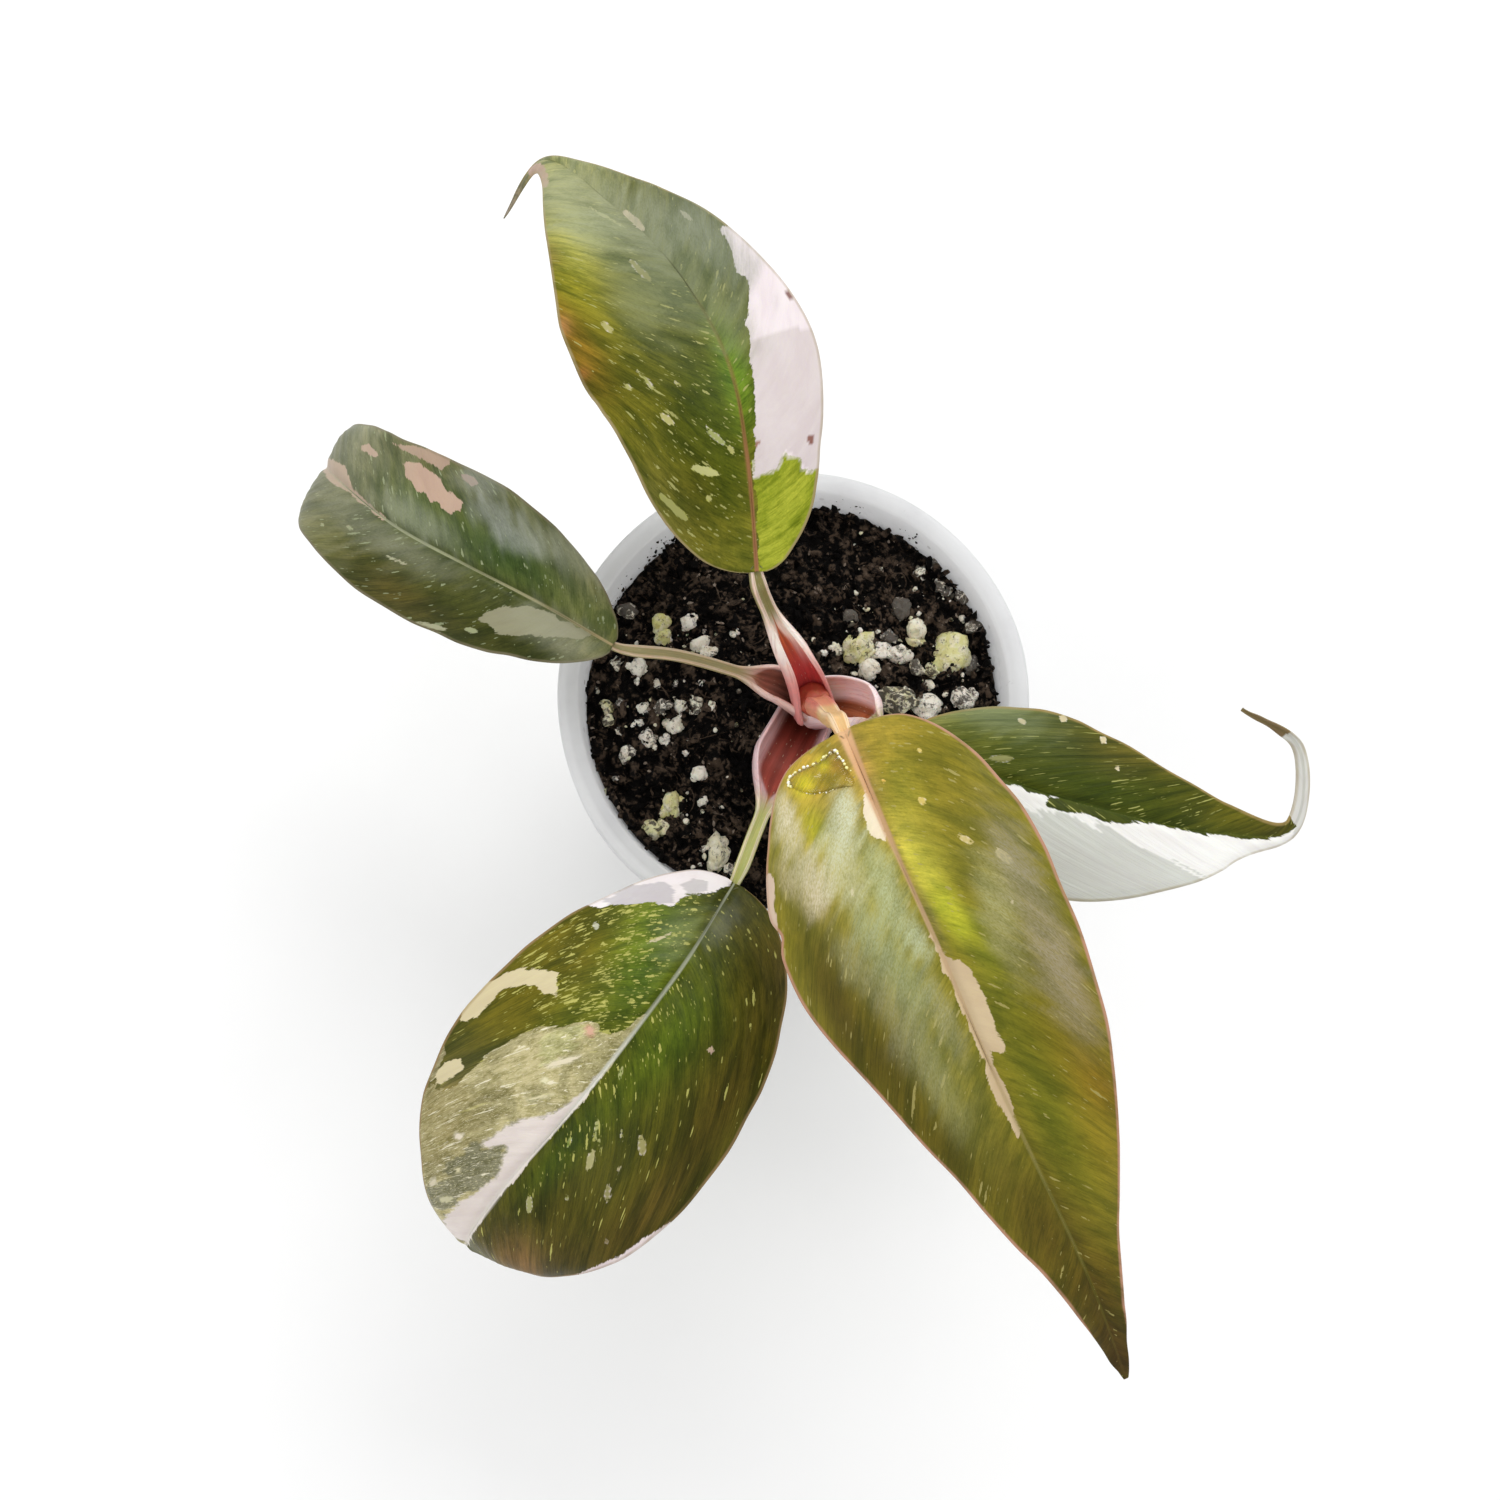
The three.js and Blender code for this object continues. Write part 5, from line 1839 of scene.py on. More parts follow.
@dataclass
class Studio:
    """Pale floor, soft light and the camera over the plant."""

    eye: Point = (-13.0, -64.0, 348.0)
    target: Point = (-7.0, -9.0, 66.0)
    lens: float = 43.2
    sensor: float = 36.0

    def build(self) -> None:
        """Builds the floor, the lights and the camera."""
        self.build_floor()
        self.build_lights()
        self.build_camera()

    def build_floor(self) -> None:
        """Builds the floor with a faint grain."""
        side = 1500.0
        points = np.array([(-side, -side, 0), (side, -side, 0), (side, side, 0), (-side, side, 0)])
        floor = make_object("floor", points, [[0, 1, 2, 3]])
        g = Graph("pale_floor")
        grain = g.noise(g.place(), 30.0, 3.0, 0.6)
        colour = g.mix(grain, (0.93, 0.93, 0.93), (0.96, 0.96, 0.96))
        g.set(Base_Color=colour, Roughness=g.line(grain, 0.1, 0.8), Specular_IOR_Level=0.2)
        floor.data.materials.append(g.material)

    def add_light(self, name: str, place: Point, aim: Point, size: float, power: float) -> None:
        """Adds a square soft light.

        Args:
            name: The light's name.
            place: Where it is.
            aim: The point it faces.
            size: Length of its side.
            power: Its power in watts.
        """
        light = bpy.data.lights.new(name, "AREA")
        light.shape = "SQUARE"
        light.size = size * MM
        light.energy = power
        lamp = bpy.data.objects.new(name, light)
        lamp.location = Vector(place) * MM
        lamp.rotation_euler = (Vector(aim) - Vector(place)).to_track_quat("-Z", "Y").to_euler()
        bpy.context.scene.collection.objects.link(lamp)

    def build_lights(self) -> None:
        """Builds an even pale surrounding, a window-like light beyond the plant and a weak fill."""
        world = bpy.data.worlds.new("pale_room")
        world.use_nodes = True
        sky = world.node_tree.nodes["Background"]
        sky.inputs["Color"].default_value = (1, 1, 1, 1)
        sky.inputs["Strength"].default_value = 0.78
        bpy.context.scene.world = world
        self.add_light("window", (250, 600, 760), (0, 0, 70), 620, 4.4)
        self.add_light("fill", (-600, -300, 700), (0, 0, 70), 500, 1.4)
        view = bpy.context.scene.view_settings
        view.view_transform = "Standard"
        view.look = "None"
        view.exposure = 0.0

    def build_camera(self) -> None:
        """Builds the camera, level from side to side."""
        camera = bpy.data.cameras.new("camera")
        camera.lens = self.lens
        camera.sensor_width = self.sensor
        camera.clip_start = 0.01
        camera.clip_end = 10
        eye, target = Vector(self.eye), Vector(self.target)
        forward = (target - eye).normalized()
        right = forward.cross(Vector((0, 1, 0))).normalized()
        up = right.cross(forward)
        rig = bpy.data.objects.new("camera", camera)
        turn = Matrix((right, up, -forward)).transposed()
        rig.matrix_world = Matrix.Translation(eye * MM) @ turn.to_4x4()
        bpy.context.scene.collection.objects.link(rig)
        bpy.context.scene.camera = rig


# The plant's five leaves

CREAM = "d3c7a0"
PINKISH = "b99f8c"
WHITE = "e6dcde"

FRONT_FORM = LeafForm(
    midrib=[
        (4.9, -14.9, 109.2), (9.8, -29.0, 114.6), (16.4, -44.6, 115.2), (23.2, -60.0, 112.8),
        (30.4, -74.2, 108.0), (37.4, -87.6, 101.5), (43.5, -101.0, 93.0),
    ],
    left=[8.4, 13.6, 17.2, 17.8, 16.0, 11.4, 5.8, 2.5, 1.0],
    right=[9.6, 14.6, 18.9, 19.0, 13.9, 9.2, 5.2, 2.6, 0.9], roll=[-16, -11, -5], fold=13, droop=-12,
    lobe=1.2, wave=(0.7, 2.5),
    petiole=[(3.3, -3.6, 75), (3.5, -5.4, 82), (3.8, -8.4, 92), (4.0, -11.2, 100)],
    stalk=1.35, foot=2.0, middle=2.1, wrap=2.8, share=0.3, closed=True, nicks=((0.325, 1, 0.9),),
)
TOP_FORM = LeafForm(
    midrib=[
        (-6.7, 11.0, 98.3), (-8.2, 26.4, 103.2), (-11.2, 41.4, 103.6), (-18.8, 56.2, 101.4),
        (-28.7, 69.0, 96.4), (-39.4, 79.6, 90.0), (-47.0, 76.2, 78.0),
    ],
    left=[7.6, 13.5, 17.3, 20.6, 19.4, 12.6, 4.2, 0.6, 0.4],
    right=[4.7, 8.8, 11.5, 13.2, 10.6, 7.3, 1.9, 0.55, 0.4], roll=[0, -3, 4], fold=12, droop=-10, lobe=0.8,
    wave=(0.9, 2),
    petiole=[(3.3, -3.2, 68.5), (1.1, 0.9, 76.5), (-4.2, 7.0, 87.8), (-6.2, 9.6, 94)],
    stalk=1.25, foot=3.5, middle=2.7, wrap=1.9, share=0.64, pinch=0.45,
)
RIGHT_FORM = LeafForm(
    midrib=[
        (13.8, -12.6, 86.6), (25.9, -17.0, 90.6), (38.2, -21.2, 92.2), (50.9, -24.0, 89.9),
        (63.0, -25.0, 84.6), (74.6, -23.6, 80.6), (75.6, -11.8, 83.0), (66.0, -6.6, 87.0),
    ],
    left=[4.6, 8.6, 11.6, 11.0, 6.8, 2.2, 1.25, 0.6, 0.25],
    right=[5.2, 10.2, 14.0, 13.8, 8.2, 1.8, 1.05, 0.55, 0.25], roll=[0, 3, 8], fold=12, droop=-10, lobe=0,
    wave=(0.8, 2),
    petiole=[(3.1, -1.2, 66.4), (6.4, -1.6, 70), (10.2, -4.2, 74.8), (12.4, -8, 81)],
    stalk=1.2, foot=4.4, middle=4.4, wrap=1.9, share=0.55,
)
LEFT_FORM = LeafForm(
    midrib=[
        (-28.3, 4.0, 82.2), (-39.2, 9.8, 85.0), (-50.4, 15.4, 86.0), (-61.2, 21.8, 84.2), (-69.8, 29.4, 80.0),
        (-74.6, 35.0, 73.6), (-75.6, 37.6, 65.6),
    ],
    left=[3.6, 7.3, 10.0, 11.4, 11.2, 10.4, 9.6, 7.2, 3.6],
    right=[4.0, 7.8, 11.4, 13.4, 13.0, 11.0, 9.2, 6.6, 3.2], roll=[4, 9, 15], fold=12, droop=-14, lobe=0.4,
    wave=(0.4, 2),
    petiole=[(3.0, -1.2, 67.8), (-1.4, 0.0, 72.2), (-7.5, 0.9, 75.8), (-14.6, 2.3, 79.2), (-21.5, 3.3, 81.3)],
    stalk=0.95, foot=4.0, middle=2.9, wrap=1.9, share=0.4,
)
LOWER_LEFT_FORM = LeafForm(
    midrib=[
        (-9.7, -32.2, 80.4), (-16.6, -43.8, 84.0), (-24.6, -54.9, 86.0), (-33.2, -65.6, 84.6),
        (-41.8, -75.0, 79.4), (-48.0, -82.4, 71.6), (-50.4, -85.6, 62.6),
    ],
    left=[7.4, 13.4, 18.0, 20.8, 21.2, 19.2, 14.4, 8.6, 4.0],
    right=[6.8, 12.8, 17.8, 20.6, 21.4, 18.4, 11.8, 6.2, 3.0], roll=[-1, 0, 6], fold=10, droop=-14, lobe=1.0,
    wave=(0.5, 2),
    petiole=[
        (3.0, -1.2, 65), (1.2, -5.4, 68.2), (-2.4, -12.8, 72.4), (-5.0, -20.2, 75.6), (-7.4, -26.2, 78.3),
    ],
    stalk=1.1, foot=4.5, middle=5.0, wrap=1.9, share=0.6,
)


def washes(*rows: tuple) -> tuple[Wash, ...]:
    """Washes from rows of their place, their reach along and across, their colour and strength."""
    return tuple(Wash((x, y), (a, b), hue(code), strength) for x, y, a, b, code, strength in rows)


def densities(*rows: tuple) -> tuple[Wash, ...]:
    """Washes that change how many flecks there are, from rows of place, reach and share of the leaf."""
    return tuple(Wash((x, y), (a, b), (share, share, share), 1.0) for x, y, a, b, share in rows)


def streaks(*rows: tuple) -> tuple[Streak, ...]:
    """Streaks from rows of their two ends, half-width and colour."""
    return tuple(Streak((ax, ay), (bx, by), wide, hue(code)) for ax, ay, bx, by, wide, code in rows)


FRONT_FINISH = LeafFinish(
    washes=washes(
        (10, -8, 10, 8, "827826", 0.8), (2, 0, 4, 1.6, "c89a66", 0.8), (3, -4, 5, 5, "b09a40", 0.7),
        (6.5, -0.4, 4, 1.3, "b98a5a", 0.6), (9.5, -1.2, 3, 1, "b09a5c", 0.4), (6, 5, 8, 6, "b89c44", 0.75),
        (1.5, 7, 4, 4, "b4963f", 0.5), (20, 5, 10, 4, "b4b266", 0.5), (14, 12, 9, 4, "b0a450", 0.7),
        (12, 8.6, 3.6, 1.7, "9a9a2c", 0.85), (24, -12, 9, 5, "79732c", 0.6), (34, 6, 8, 4, "8b8d4c", 0.6),
        (27, 12, 7, 3, "80793c", 0.5), (35, 15, 13, 3.4, "403812", 0.85), (46, 12, 12, 4, "4f4616", 0.8),
        (58, 9, 8, 4, "494010", 0.7), (45, -6, 11, 4, "62661c", 0.75), (44, -14, 9, 3, "746634", 0.6),
        (52, -9, 10, 4, "6e6118", 0.6), (60, -5, 12, 4, "6a701e", 0.7), (58, -12, 6, 3, "86661e", 0.6),
        (66, -9, 9, 3, "857824", 0.7), (50, 5, 9, 3, "7e7e42", 0.6), (60, 4, 8, 3, "6a6828", 0.6),
        (72, 3, 11, 6, "4e4216", 0.8), (84, 0, 9, 6, "4e3e14", 0.7), (97, 0, 12, 6, "3a2612", 0.9),
        (14, -4.5, 7, 3, "a49c3a", 0.7), (18, -2.2, 4, 2, "b4ae48", 0.7), (23, -3.4, 4, 2.6, "a2a23c", 0.55),
        (35, -5.4, 5, 2.2, "7e8226", 0.8), (17.5, -0.9, 2.2, 1, "c8ba54", 0.8),
        (20.5, -1.5, 2.4, 1.3, "d2ca52", 0.85), (24, -2.3, 2.6, 1.5, "b8b648", 0.8),
        (28, -3.1, 2.8, 1.7, "b9bc3a", 0.88), (31.4, -3.8, 2.4, 1.6, "acb232", 0.8),
        (29, -0.7, 3.4, 0.7, "94884e", 0.7), (23, -0.4, 4, 0.5, "a89a50", 0.6),
        # Painted light: the two bright yellow washes on this line, where the leaf glows through the water
        # pool
        (5.2, 7.6, 1.5, 1.5, "e6e044", 0.9), (3.6, 4.4, 1.2, 1, "dcd63e", 0.8),
        (6.4, 4.6, 1.1, 1.4, "8c8628", 0.6), (4.2, 2.6, 1.6, 1, "b88c40", 0.6),
    ),
    patches=(
        Patch(Tissue.CLEAR, hue("cdb894"), 0.35, (
            (31, 0.2), (33.5, 0.1), (35, -1), (35.5, -2), (37, -2.6), (38.5, -2.7), (40.5, -3.1),
            (43.5, -3.1), (45.5, -2.4), (47, -2.8), (48.8, -2.6), (47.5, -1), (52.5, -0.6), (56, -0.1),
            (59, 0.1), (59.5, 0.6), (55, 1), (47.5, 0.7), (42, 0.5), (36.5, 0.5),
        )),
        Patch(Tissue.CLEAR, hue("ecdfc2"), 0.25, (
            (8.9, 0.4), (10.5, 1.1), (12.6, 1.8), (14.5, 2.1), (15.9, 2.2), (16.8, 1.2), (18.2, 0.5),
            (13, 0.25),
        )),
        Patch(Tissue.CLEAR, hue("cdb7a2"), 0.25, (
            (14.5, 16.6), (16, 16.4), (19, 17.4), (23, 18.6), (24.5, 24), (19, 24), (15.5, 24),
        )),
    ),
    streaks=streaks(
        (21, -8.5, 22.5, -9.6, 0.4, "c9b878"), (24.5, -12, 26.7, -13.1, 0.6, "c9bd88"),
        (21, 7, 22.8, 7.6, 0.4, CREAM), (14.6, -5.8, 15.4, -6.2, 0.4, "d2bc6a"),
        (8.3, -8.4, 8.8, -8.6, 0.25, "d2bc6a"), (31, -11, 31.4, -11.2, 0.3, CREAM),
        (33, -15.4, 33.4, -15.6, 0.35, CREAM), (9.6, -2.4, 10.2, -2.6, 0.3, "e0b85a"),
    ),
    rib=hues("e0b488", "c6a07c", "c4a682", "b49c70", "8f8e50", "7a7a34", "66522a"),
    fleck_washes=densities((66, 0, 24, 20, 0.04)),
    painted_sheens=washes(
        (7.5, 11.6, 3.2, 1.5, "d6ceb0", 0.65), (11.2, 12, 3.6, 1.8, "d0c8a8", 0.6),
        (11, 3.7, 3, 1.6, "ccd0b2", 0.72), (13.6, 4.9, 3, 1.7, "c8ccb0", 0.7),
        (15.8, 6.6, 2.6, 2, "c4c6a4", 0.68), (17.8, 11.8, 3.8, 2.3, "d2cab0", 0.6),
        (17, 14.6, 3, 1.4, "cbbd9c", 0.5), (21, 12.6, 2.6, 1.7, "c8ba98", 0.55),
        (19.4, 7.4, 4, 2.6, "c4c29a", 0.6), (20.8, 2.8, 4.6, 1.7, "bac092", 0.6),
        (26.5, 3.5, 4.4, 1.9, "b4bc92", 0.62), (30.9, 2.2, 2.8, 1.4, "b8c09c", 0.65),
        (27.5, 7.4, 4.4, 2.2, "a8b088", 0.55), (34.5, 5.6, 4.6, 2.2, "9ea67e", 0.5),
        (30, 11, 4, 1.8, "9a9c78", 0.4), (40, 8, 9, 2.6, "9c9c80", 0.35), (38, -13.2, 13, 2.8, "9c9278", 0.7),
        (30, -9.5, 5.5, 2.6, "a8a674", 0.6), (36, -8.4, 5, 2, "a09a6c", 0.5),
        (27, -14, 6, 2.4, "8e8a70", 0.4), (42, 3, 6, 1.6, "a4a482", 0.4), (49, 7, 8, 2, "9a9a66", 0.4),
    ),
    ground=hue("7d7725"), rib_strength=(0.95, 0.88, 0.8, 0.6, 0.45, 0.35, 0.3, 0.2), margin=hue("b88a72"),
    fleck=hue("a89d5e"), flecks=0.085, rib_width=(1.1, 0.42, 0.31, 0.28, 0.24, 0.22), contrast=0.44,
    glitter=0.45,
)
TOP_FINISH = LeafFinish(
    washes=washes(
        (2, -14, 8, 6, "96914a", 0.85), (3, 0, 9, 12, "7c7c2e", 0.8), (12, -9, 10, 7, "5a5618", 0.7),
        (9, -14, 8, 4, "74733a", 0.6), (16, -3, 10, 3, "4f5814", 0.7), (26, -5, 12, 5, "3a480c", 0.9),
        (24, -9, 9, 3, "434c0e", 0.7), (30, -14, 12, 5, "605f1a", 0.6), (46, -19, 14, 2.8, "8e6c26", 0.75),
        (38, -20.4, 1.6, 1, "b87848", 0.6), (48.4, -19.4, 2, 1.3, "c88e62", 0.8),
        (62.7, -13.6, 3, 1.8, "c08c5a", 0.85), (54, -14, 10, 3, "8e8a24", 0.8),
        (60, -10.5, 8, 3, "a6a84c", 0.7), (66, -8, 8, 4, "a8aa62", 0.6), (50, -4, 14, 7, "68704a", 0.75),
        (50, 4, 12, 5, "6a7250", 0.7), (78, -3, 12, 8, "a0a67a", 0.7), (29, 0.6, 8, 2.4, "66882a", 0.85),
        (96, 0, 9, 6, "8a8078", 0.95),
    ),
    patches=(
        Patch(Tissue.BRIGHT, hue("a5ac38"), 0.3, (
            (15.5, 0.8), (16, 4), (18.5, 5.5), (17, 7), (16.5, 8.5), (15, 9.5), (15.5, 11), (14, 18),
            (0.5, 14), (-3, 7), (-2, 0.3),
        )),
        Patch(Tissue.CLEAR, hue(WHITE), 0.3, (
            (52, 20), (50, 9), (47.5, 8.5), (42.5, 7), (41, 8), (39, 7), (36, 5.5), (35.5, 4.5), (33.5, 4.5),
            (31, 3.5), (28.5, 3), (28.5, 3.6), (25.5, 2.5), (23.5, 3), (21.5, 2), (20, 1.5), (18.5, 1.5),
            (13.5, 1), (14.5, 4), (17, 5.5), (15.5, 6), (15, 7.5), (13.5, 8), (13.5, 9), (14, 10), (14, 20),
        )),
        Patch(Tissue.CLEAR, hue("d3c9c8"), 0.15, (
            (31.4, 20), (31.8, 12), (32.4, 6), (32.2, 4.2), (28.5, 3), (25.5, 2.5), (21.5, 2), (18.5, 1.5),
            (13.5, 1), (14.5, 4), (17, 5.5), (15, 7.5), (13.5, 9), (14, 20),
        )),
        Patch(Tissue.CLEAR, hue(PINKISH), 0.3, (
            (87, 1), (82, -1), (79.5, -2), (75.5, -4.5), (77.5, -6), (85, -4),
        )),
    ),
    streaks=streaks(
        (62.5, 0.5, 57.5, 0.4, 0.55, "d0c1a5"), (53, -5, 48, -4.5, 0.55, "8f8c5c"),
        (45, -14, 42.3, -13.8, 0.45, "aeaa6d"), (34, -13, 28, -11.6, 0.35, "a0a060"),
        (24, -11.5, 22, -10, 0.5, "aeaa6d"), (21, -5.5, 18.5, -3.2, 0.5, "999f62"),
        (15.5, -8, 14.2, -4.4, 0.6, "b4b478"), (12, -13, 8.2, -9.7, 0.55, "9a9a5c"),
        (56, 6.5, 53.8, 6.5, 0.4, "b5b098"), (66.5, -3, 59, -1.5, 0.25, "a8a878"),
        (32.5, -15.5, 29.8, -14.6, 0.3, "a9a768"), (18, -2.5, 17, -2, 0.3, "a9a768"),
        (11.2, -6.4, 10.6, -6, 0.35, "a9a768"), (29.5, -8.5, 28.2, -8, 0.3, "a9a768"),
        (36.4, 12.1, 37, 12.4, 0.28, "8a6a64"), (17.4, 9.3, 18.2, 9.5, 0.3, "8a6258"),
        (17.8, 1.5, 18.2, 2, 0.25, "a07a6c"),
    ),
    rib=hues("9a6b4a", "8f6440", "7f6238", "6f6a35", "6d7848", "7c8d6a"),
    fleck_washes=densities((20, -9, 15, 8, 0.2)),
    painted_sheens=washes(
        (36, 2.6, 6, 3.6, "828a66", 0.42), (46, -1, 8.5, 6.5, "7b8264", 0.55), (50, 7, 9, 4, "848a78", 0.72),
        (58, 1, 9, 7, "8f947c", 0.64), (45, -8.5, 8, 3.2, "8f9364", 0.35), (62, -6, 8, 4, "a6ac84", 0.5),
        (71, -3, 9, 7, "a4a888", 0.56),
    ),
    ground=hue("565a1a"), rib_strength=(0.95, 0.9, 0.45, 0.05, 0, 0, 0), margin=hue("9c8c64"),
    fleck=hue("a9a768"), flecks=0.07, rib_width=(0.4, 0.34, 0.28), groove=0.15, quilt=0.02, relief=0.35,
    contrast=0.62, gloss=0.05,
)
RIGHT_FINISH = LeafFinish(
    washes=washes(
        (3, -7, 7, 5, "8e925a", 0.8), (14, -8, 10, 5, "758048", 0.75), (13, -4, 8, 3, "6c7430", 0.7),
        (30, -3, 12, 3, "3b4a12", 0.7), (42, -10, 14, 2.6, "6f661f", 0.8), (33, -8, 6, 3, "605c2c", 0.4),
        (56, -3.5, 10, 2.5, "6e6a20", 0.7), (64, -1, 6, 2, "4c461a", 0.6),
    ),
    patches=(
        Patch(Tissue.CLEAR, hue("f2f2ee"), 0.25, (
            (-2, 0.8), (10, 1.2), (17.5, 0.6), (20, 0), (21, 0.6), (25.5, 0), (24, 1), (24, 2), (26, 2.2),
            (29, 1.6), (33, 2), (38, 1), (37, 0.4), (45, 0.4), (56, 0.6), (60, 0.5), (64, 0.3), (66.5, 0.1),
            (68, -3), (130, -3), (130, 20), (-2, 20),
        )),
        # Painted shade: grey over most of the white half, white tissue in the leaf's shade
        Patch(Tissue.CLEAR, hue("cfd1ca"), 0.9, (
            (-2, 2.4), (20, 3.2), (26, 2.8), (33, 3.2), (37, 4.6), (42, 5.6), (47, 6.8), (51, 8.4), (47, 10),
            (44, 14), (36, 20), (-2, 20),
        )),
        Patch(Tissue.CLEAR, hue("d6d6d0"), 0.2, ((69, -3), (82, -3), (82, 3), (64, 3))),
        Patch(Tissue.CLEAR, hue("7f6b4c"), 0.2, ((83, -3), (130, -3), (130, 3), (81, 3))),
    ),
    streaks=streaks(
        (30, -10, 30.2, -10.2, 1.1, CREAM), (33, -6.5, 33.2, -6.6, 0.85, CREAM),
        (22.3, -11.5, 23.2, -11.4, 0.7, CREAM), (40.3, -12.3, 41.2, -12, 0.6, CREAM),
        (14.5, -2.5, 17.5, -3.3, 0.5, "9a9a62"), (16.5, -9.2, 17.6, -8.8, 0.35, CREAM),
    ),
    rib=hues("5c7030", "4a5c22", "55601f", "6a6a30"),
    painted_sheens=washes((12, -9, 8, 3, "94a080", 0.35)),
    ground=hue("414a12"), rib_strength=(0.4, 0.3, 0.2, 0.2), margin=hue("9a8450"), fleck=hue("b9b96a"),
    flecks=0.08, quilt=0.05, relief=0.6, vein_tilt=1.5, groove=0.5, rib_width=(0.4, 0.3, 0.25),
)
LEFT_FINISH = LeafFinish(
    washes=washes(
        (20, 4, 14, 4, "44592c", 0.85), (38, 5, 8, 5, "66744c", 0.7), (50, 4, 8, 5, "74785a", 0.6),
        (20, -8, 14, 4.5, "3a3d18", 0.85), (22, -5, 9, 3, "40481f", 0.7), (34, -9, 9, 4, "54491f", 0.6),
        (27, -4, 8, 2.5, "474c26", 0.6), (52, -8, 10, 5, "70724a", 0.7), (68, -7, 6, 6, "88845a", 0.6),
        (4, 3, 6, 3, "66703c", 0.8), (5, 8, 7, 4, "86886a", 0.8), (3, -2, 4, 3, "93936e", 0.7),
        (20, 14, 12, 3, "7c8264", 0.6), (44, 13, 10, 4, "848468", 0.6), (57, 10, 6, 4, "9a9c84", 0.6),
    ),
    patches=(
        Patch(Tissue.CLEAR, hue(PINKISH), 0.25, (
            (68, 1.5), (61.5, 1.4), (53.5, 2.4), (51, 1.6), (48, 0.7), (45, 0.5), (40.5, 0.3), (40.5, -0.3),
            (49, -0.5), (54, -0.9), (68, -0.8),
        )),
        Patch(Tissue.CLEAR, hue("bda28e"), 0.3, (
            (44, 8.5), (43, 9.2), (40.5, 10), (38.5, 10), (35, 10), (34, 9), (32.5, 8.6), (30, 8), (29.8, 7),
            (30.5, 6), (32.5, 6), (33.5, 6.6), (34.5, 6), (36, 6.6), (37.5, 6.5), (39.5, 7), (41.5, 7.1),
            (42.5, 8),
        )),
        Patch(Tissue.CLEAR, hue("ab9480"), 0.25, (
            (48, 10), (45, 11.2), (42, 12.6), (37, 16), (35.6, 12), (36, 10.8), (39, 10.8), (42.5, 10.8),
            (45.5, 10),
        )),
        Patch(Tissue.CLEAR, hue("a48c7c"), 0.15, (
            (32.5, 12), (30.5, 12.6), (29.3, 11.8), (30, 11), (32, 11.4),
        )),
        Patch(Tissue.CLEAR, hue(PINKISH), 0.2, ((52.8, 6.6), (52, 7.6), (48.3, 7.2), (49, 6.4), (52, 6))),
        Patch(Tissue.CLEAR, hue("929074"), 0.35, (
            (19.4, -6.4), (18.5, -5), (16.5, -3), (14, -1.4), (12, -1.1), (9.5, -0.8), (4, -0.5), (4.6, -1.6),
            (6, -2.4), (8.5, -3.4), (10.5, -4.7), (13.5, -6), (16.5, -7), (17.8, -6.4),
        )),
    ),
    streaks=streaks(
        (28, -11.3, 23.3, -10, 0.4, "a8a888"), (36.5, -4.6, 33, -4.1, 0.3, "a8a888"),
        (20.5, -8.6, 19, -8.2, 0.3, "9aa078"), (45, -4.5, 43.6, -4.3, 0.35, "9aa078"),
        (50, -7, 49, -6.8, 0.3, "9aa078"),
    ),
    rib=hues("a8966c", "a39e78", "a4a884", "a9aa8c", "b4a18c", "b4a18c"),
    painted_sheens=washes(
        (29.5, 12, 4, 2.2, "9c9f96", 0.46), (25, 9, 4, 2.2, "9a9e96", 0.5),
        (20, 6.8, 4.5, 1.8, "9a9e96", 0.55), (12, 9, 7, 2.5, "999c86", 0.5), (36, 2.5, 9, 2.4, "8f9480", 0.5),
        (42, -3, 13, 2.4, "8e907a", 0.38), (58, 1, 14, 12, "aaaa94", 0.32), (8, -3, 7, 3, "a6a790", 0.4),
        (34, -2, 9, 2, "868872", 0.32),
    ),
    ground=hue("474d28"), rib_strength=(0.95, 0.9, 0.85, 0.85, 0.8, 0.5), margin=hue("746c54"),
    fleck=hue("99a17c"), flecks=0.075, rib_width=(0.26, 0.22, 0.2, 0.24, 0.3), contrast=0.58,
)
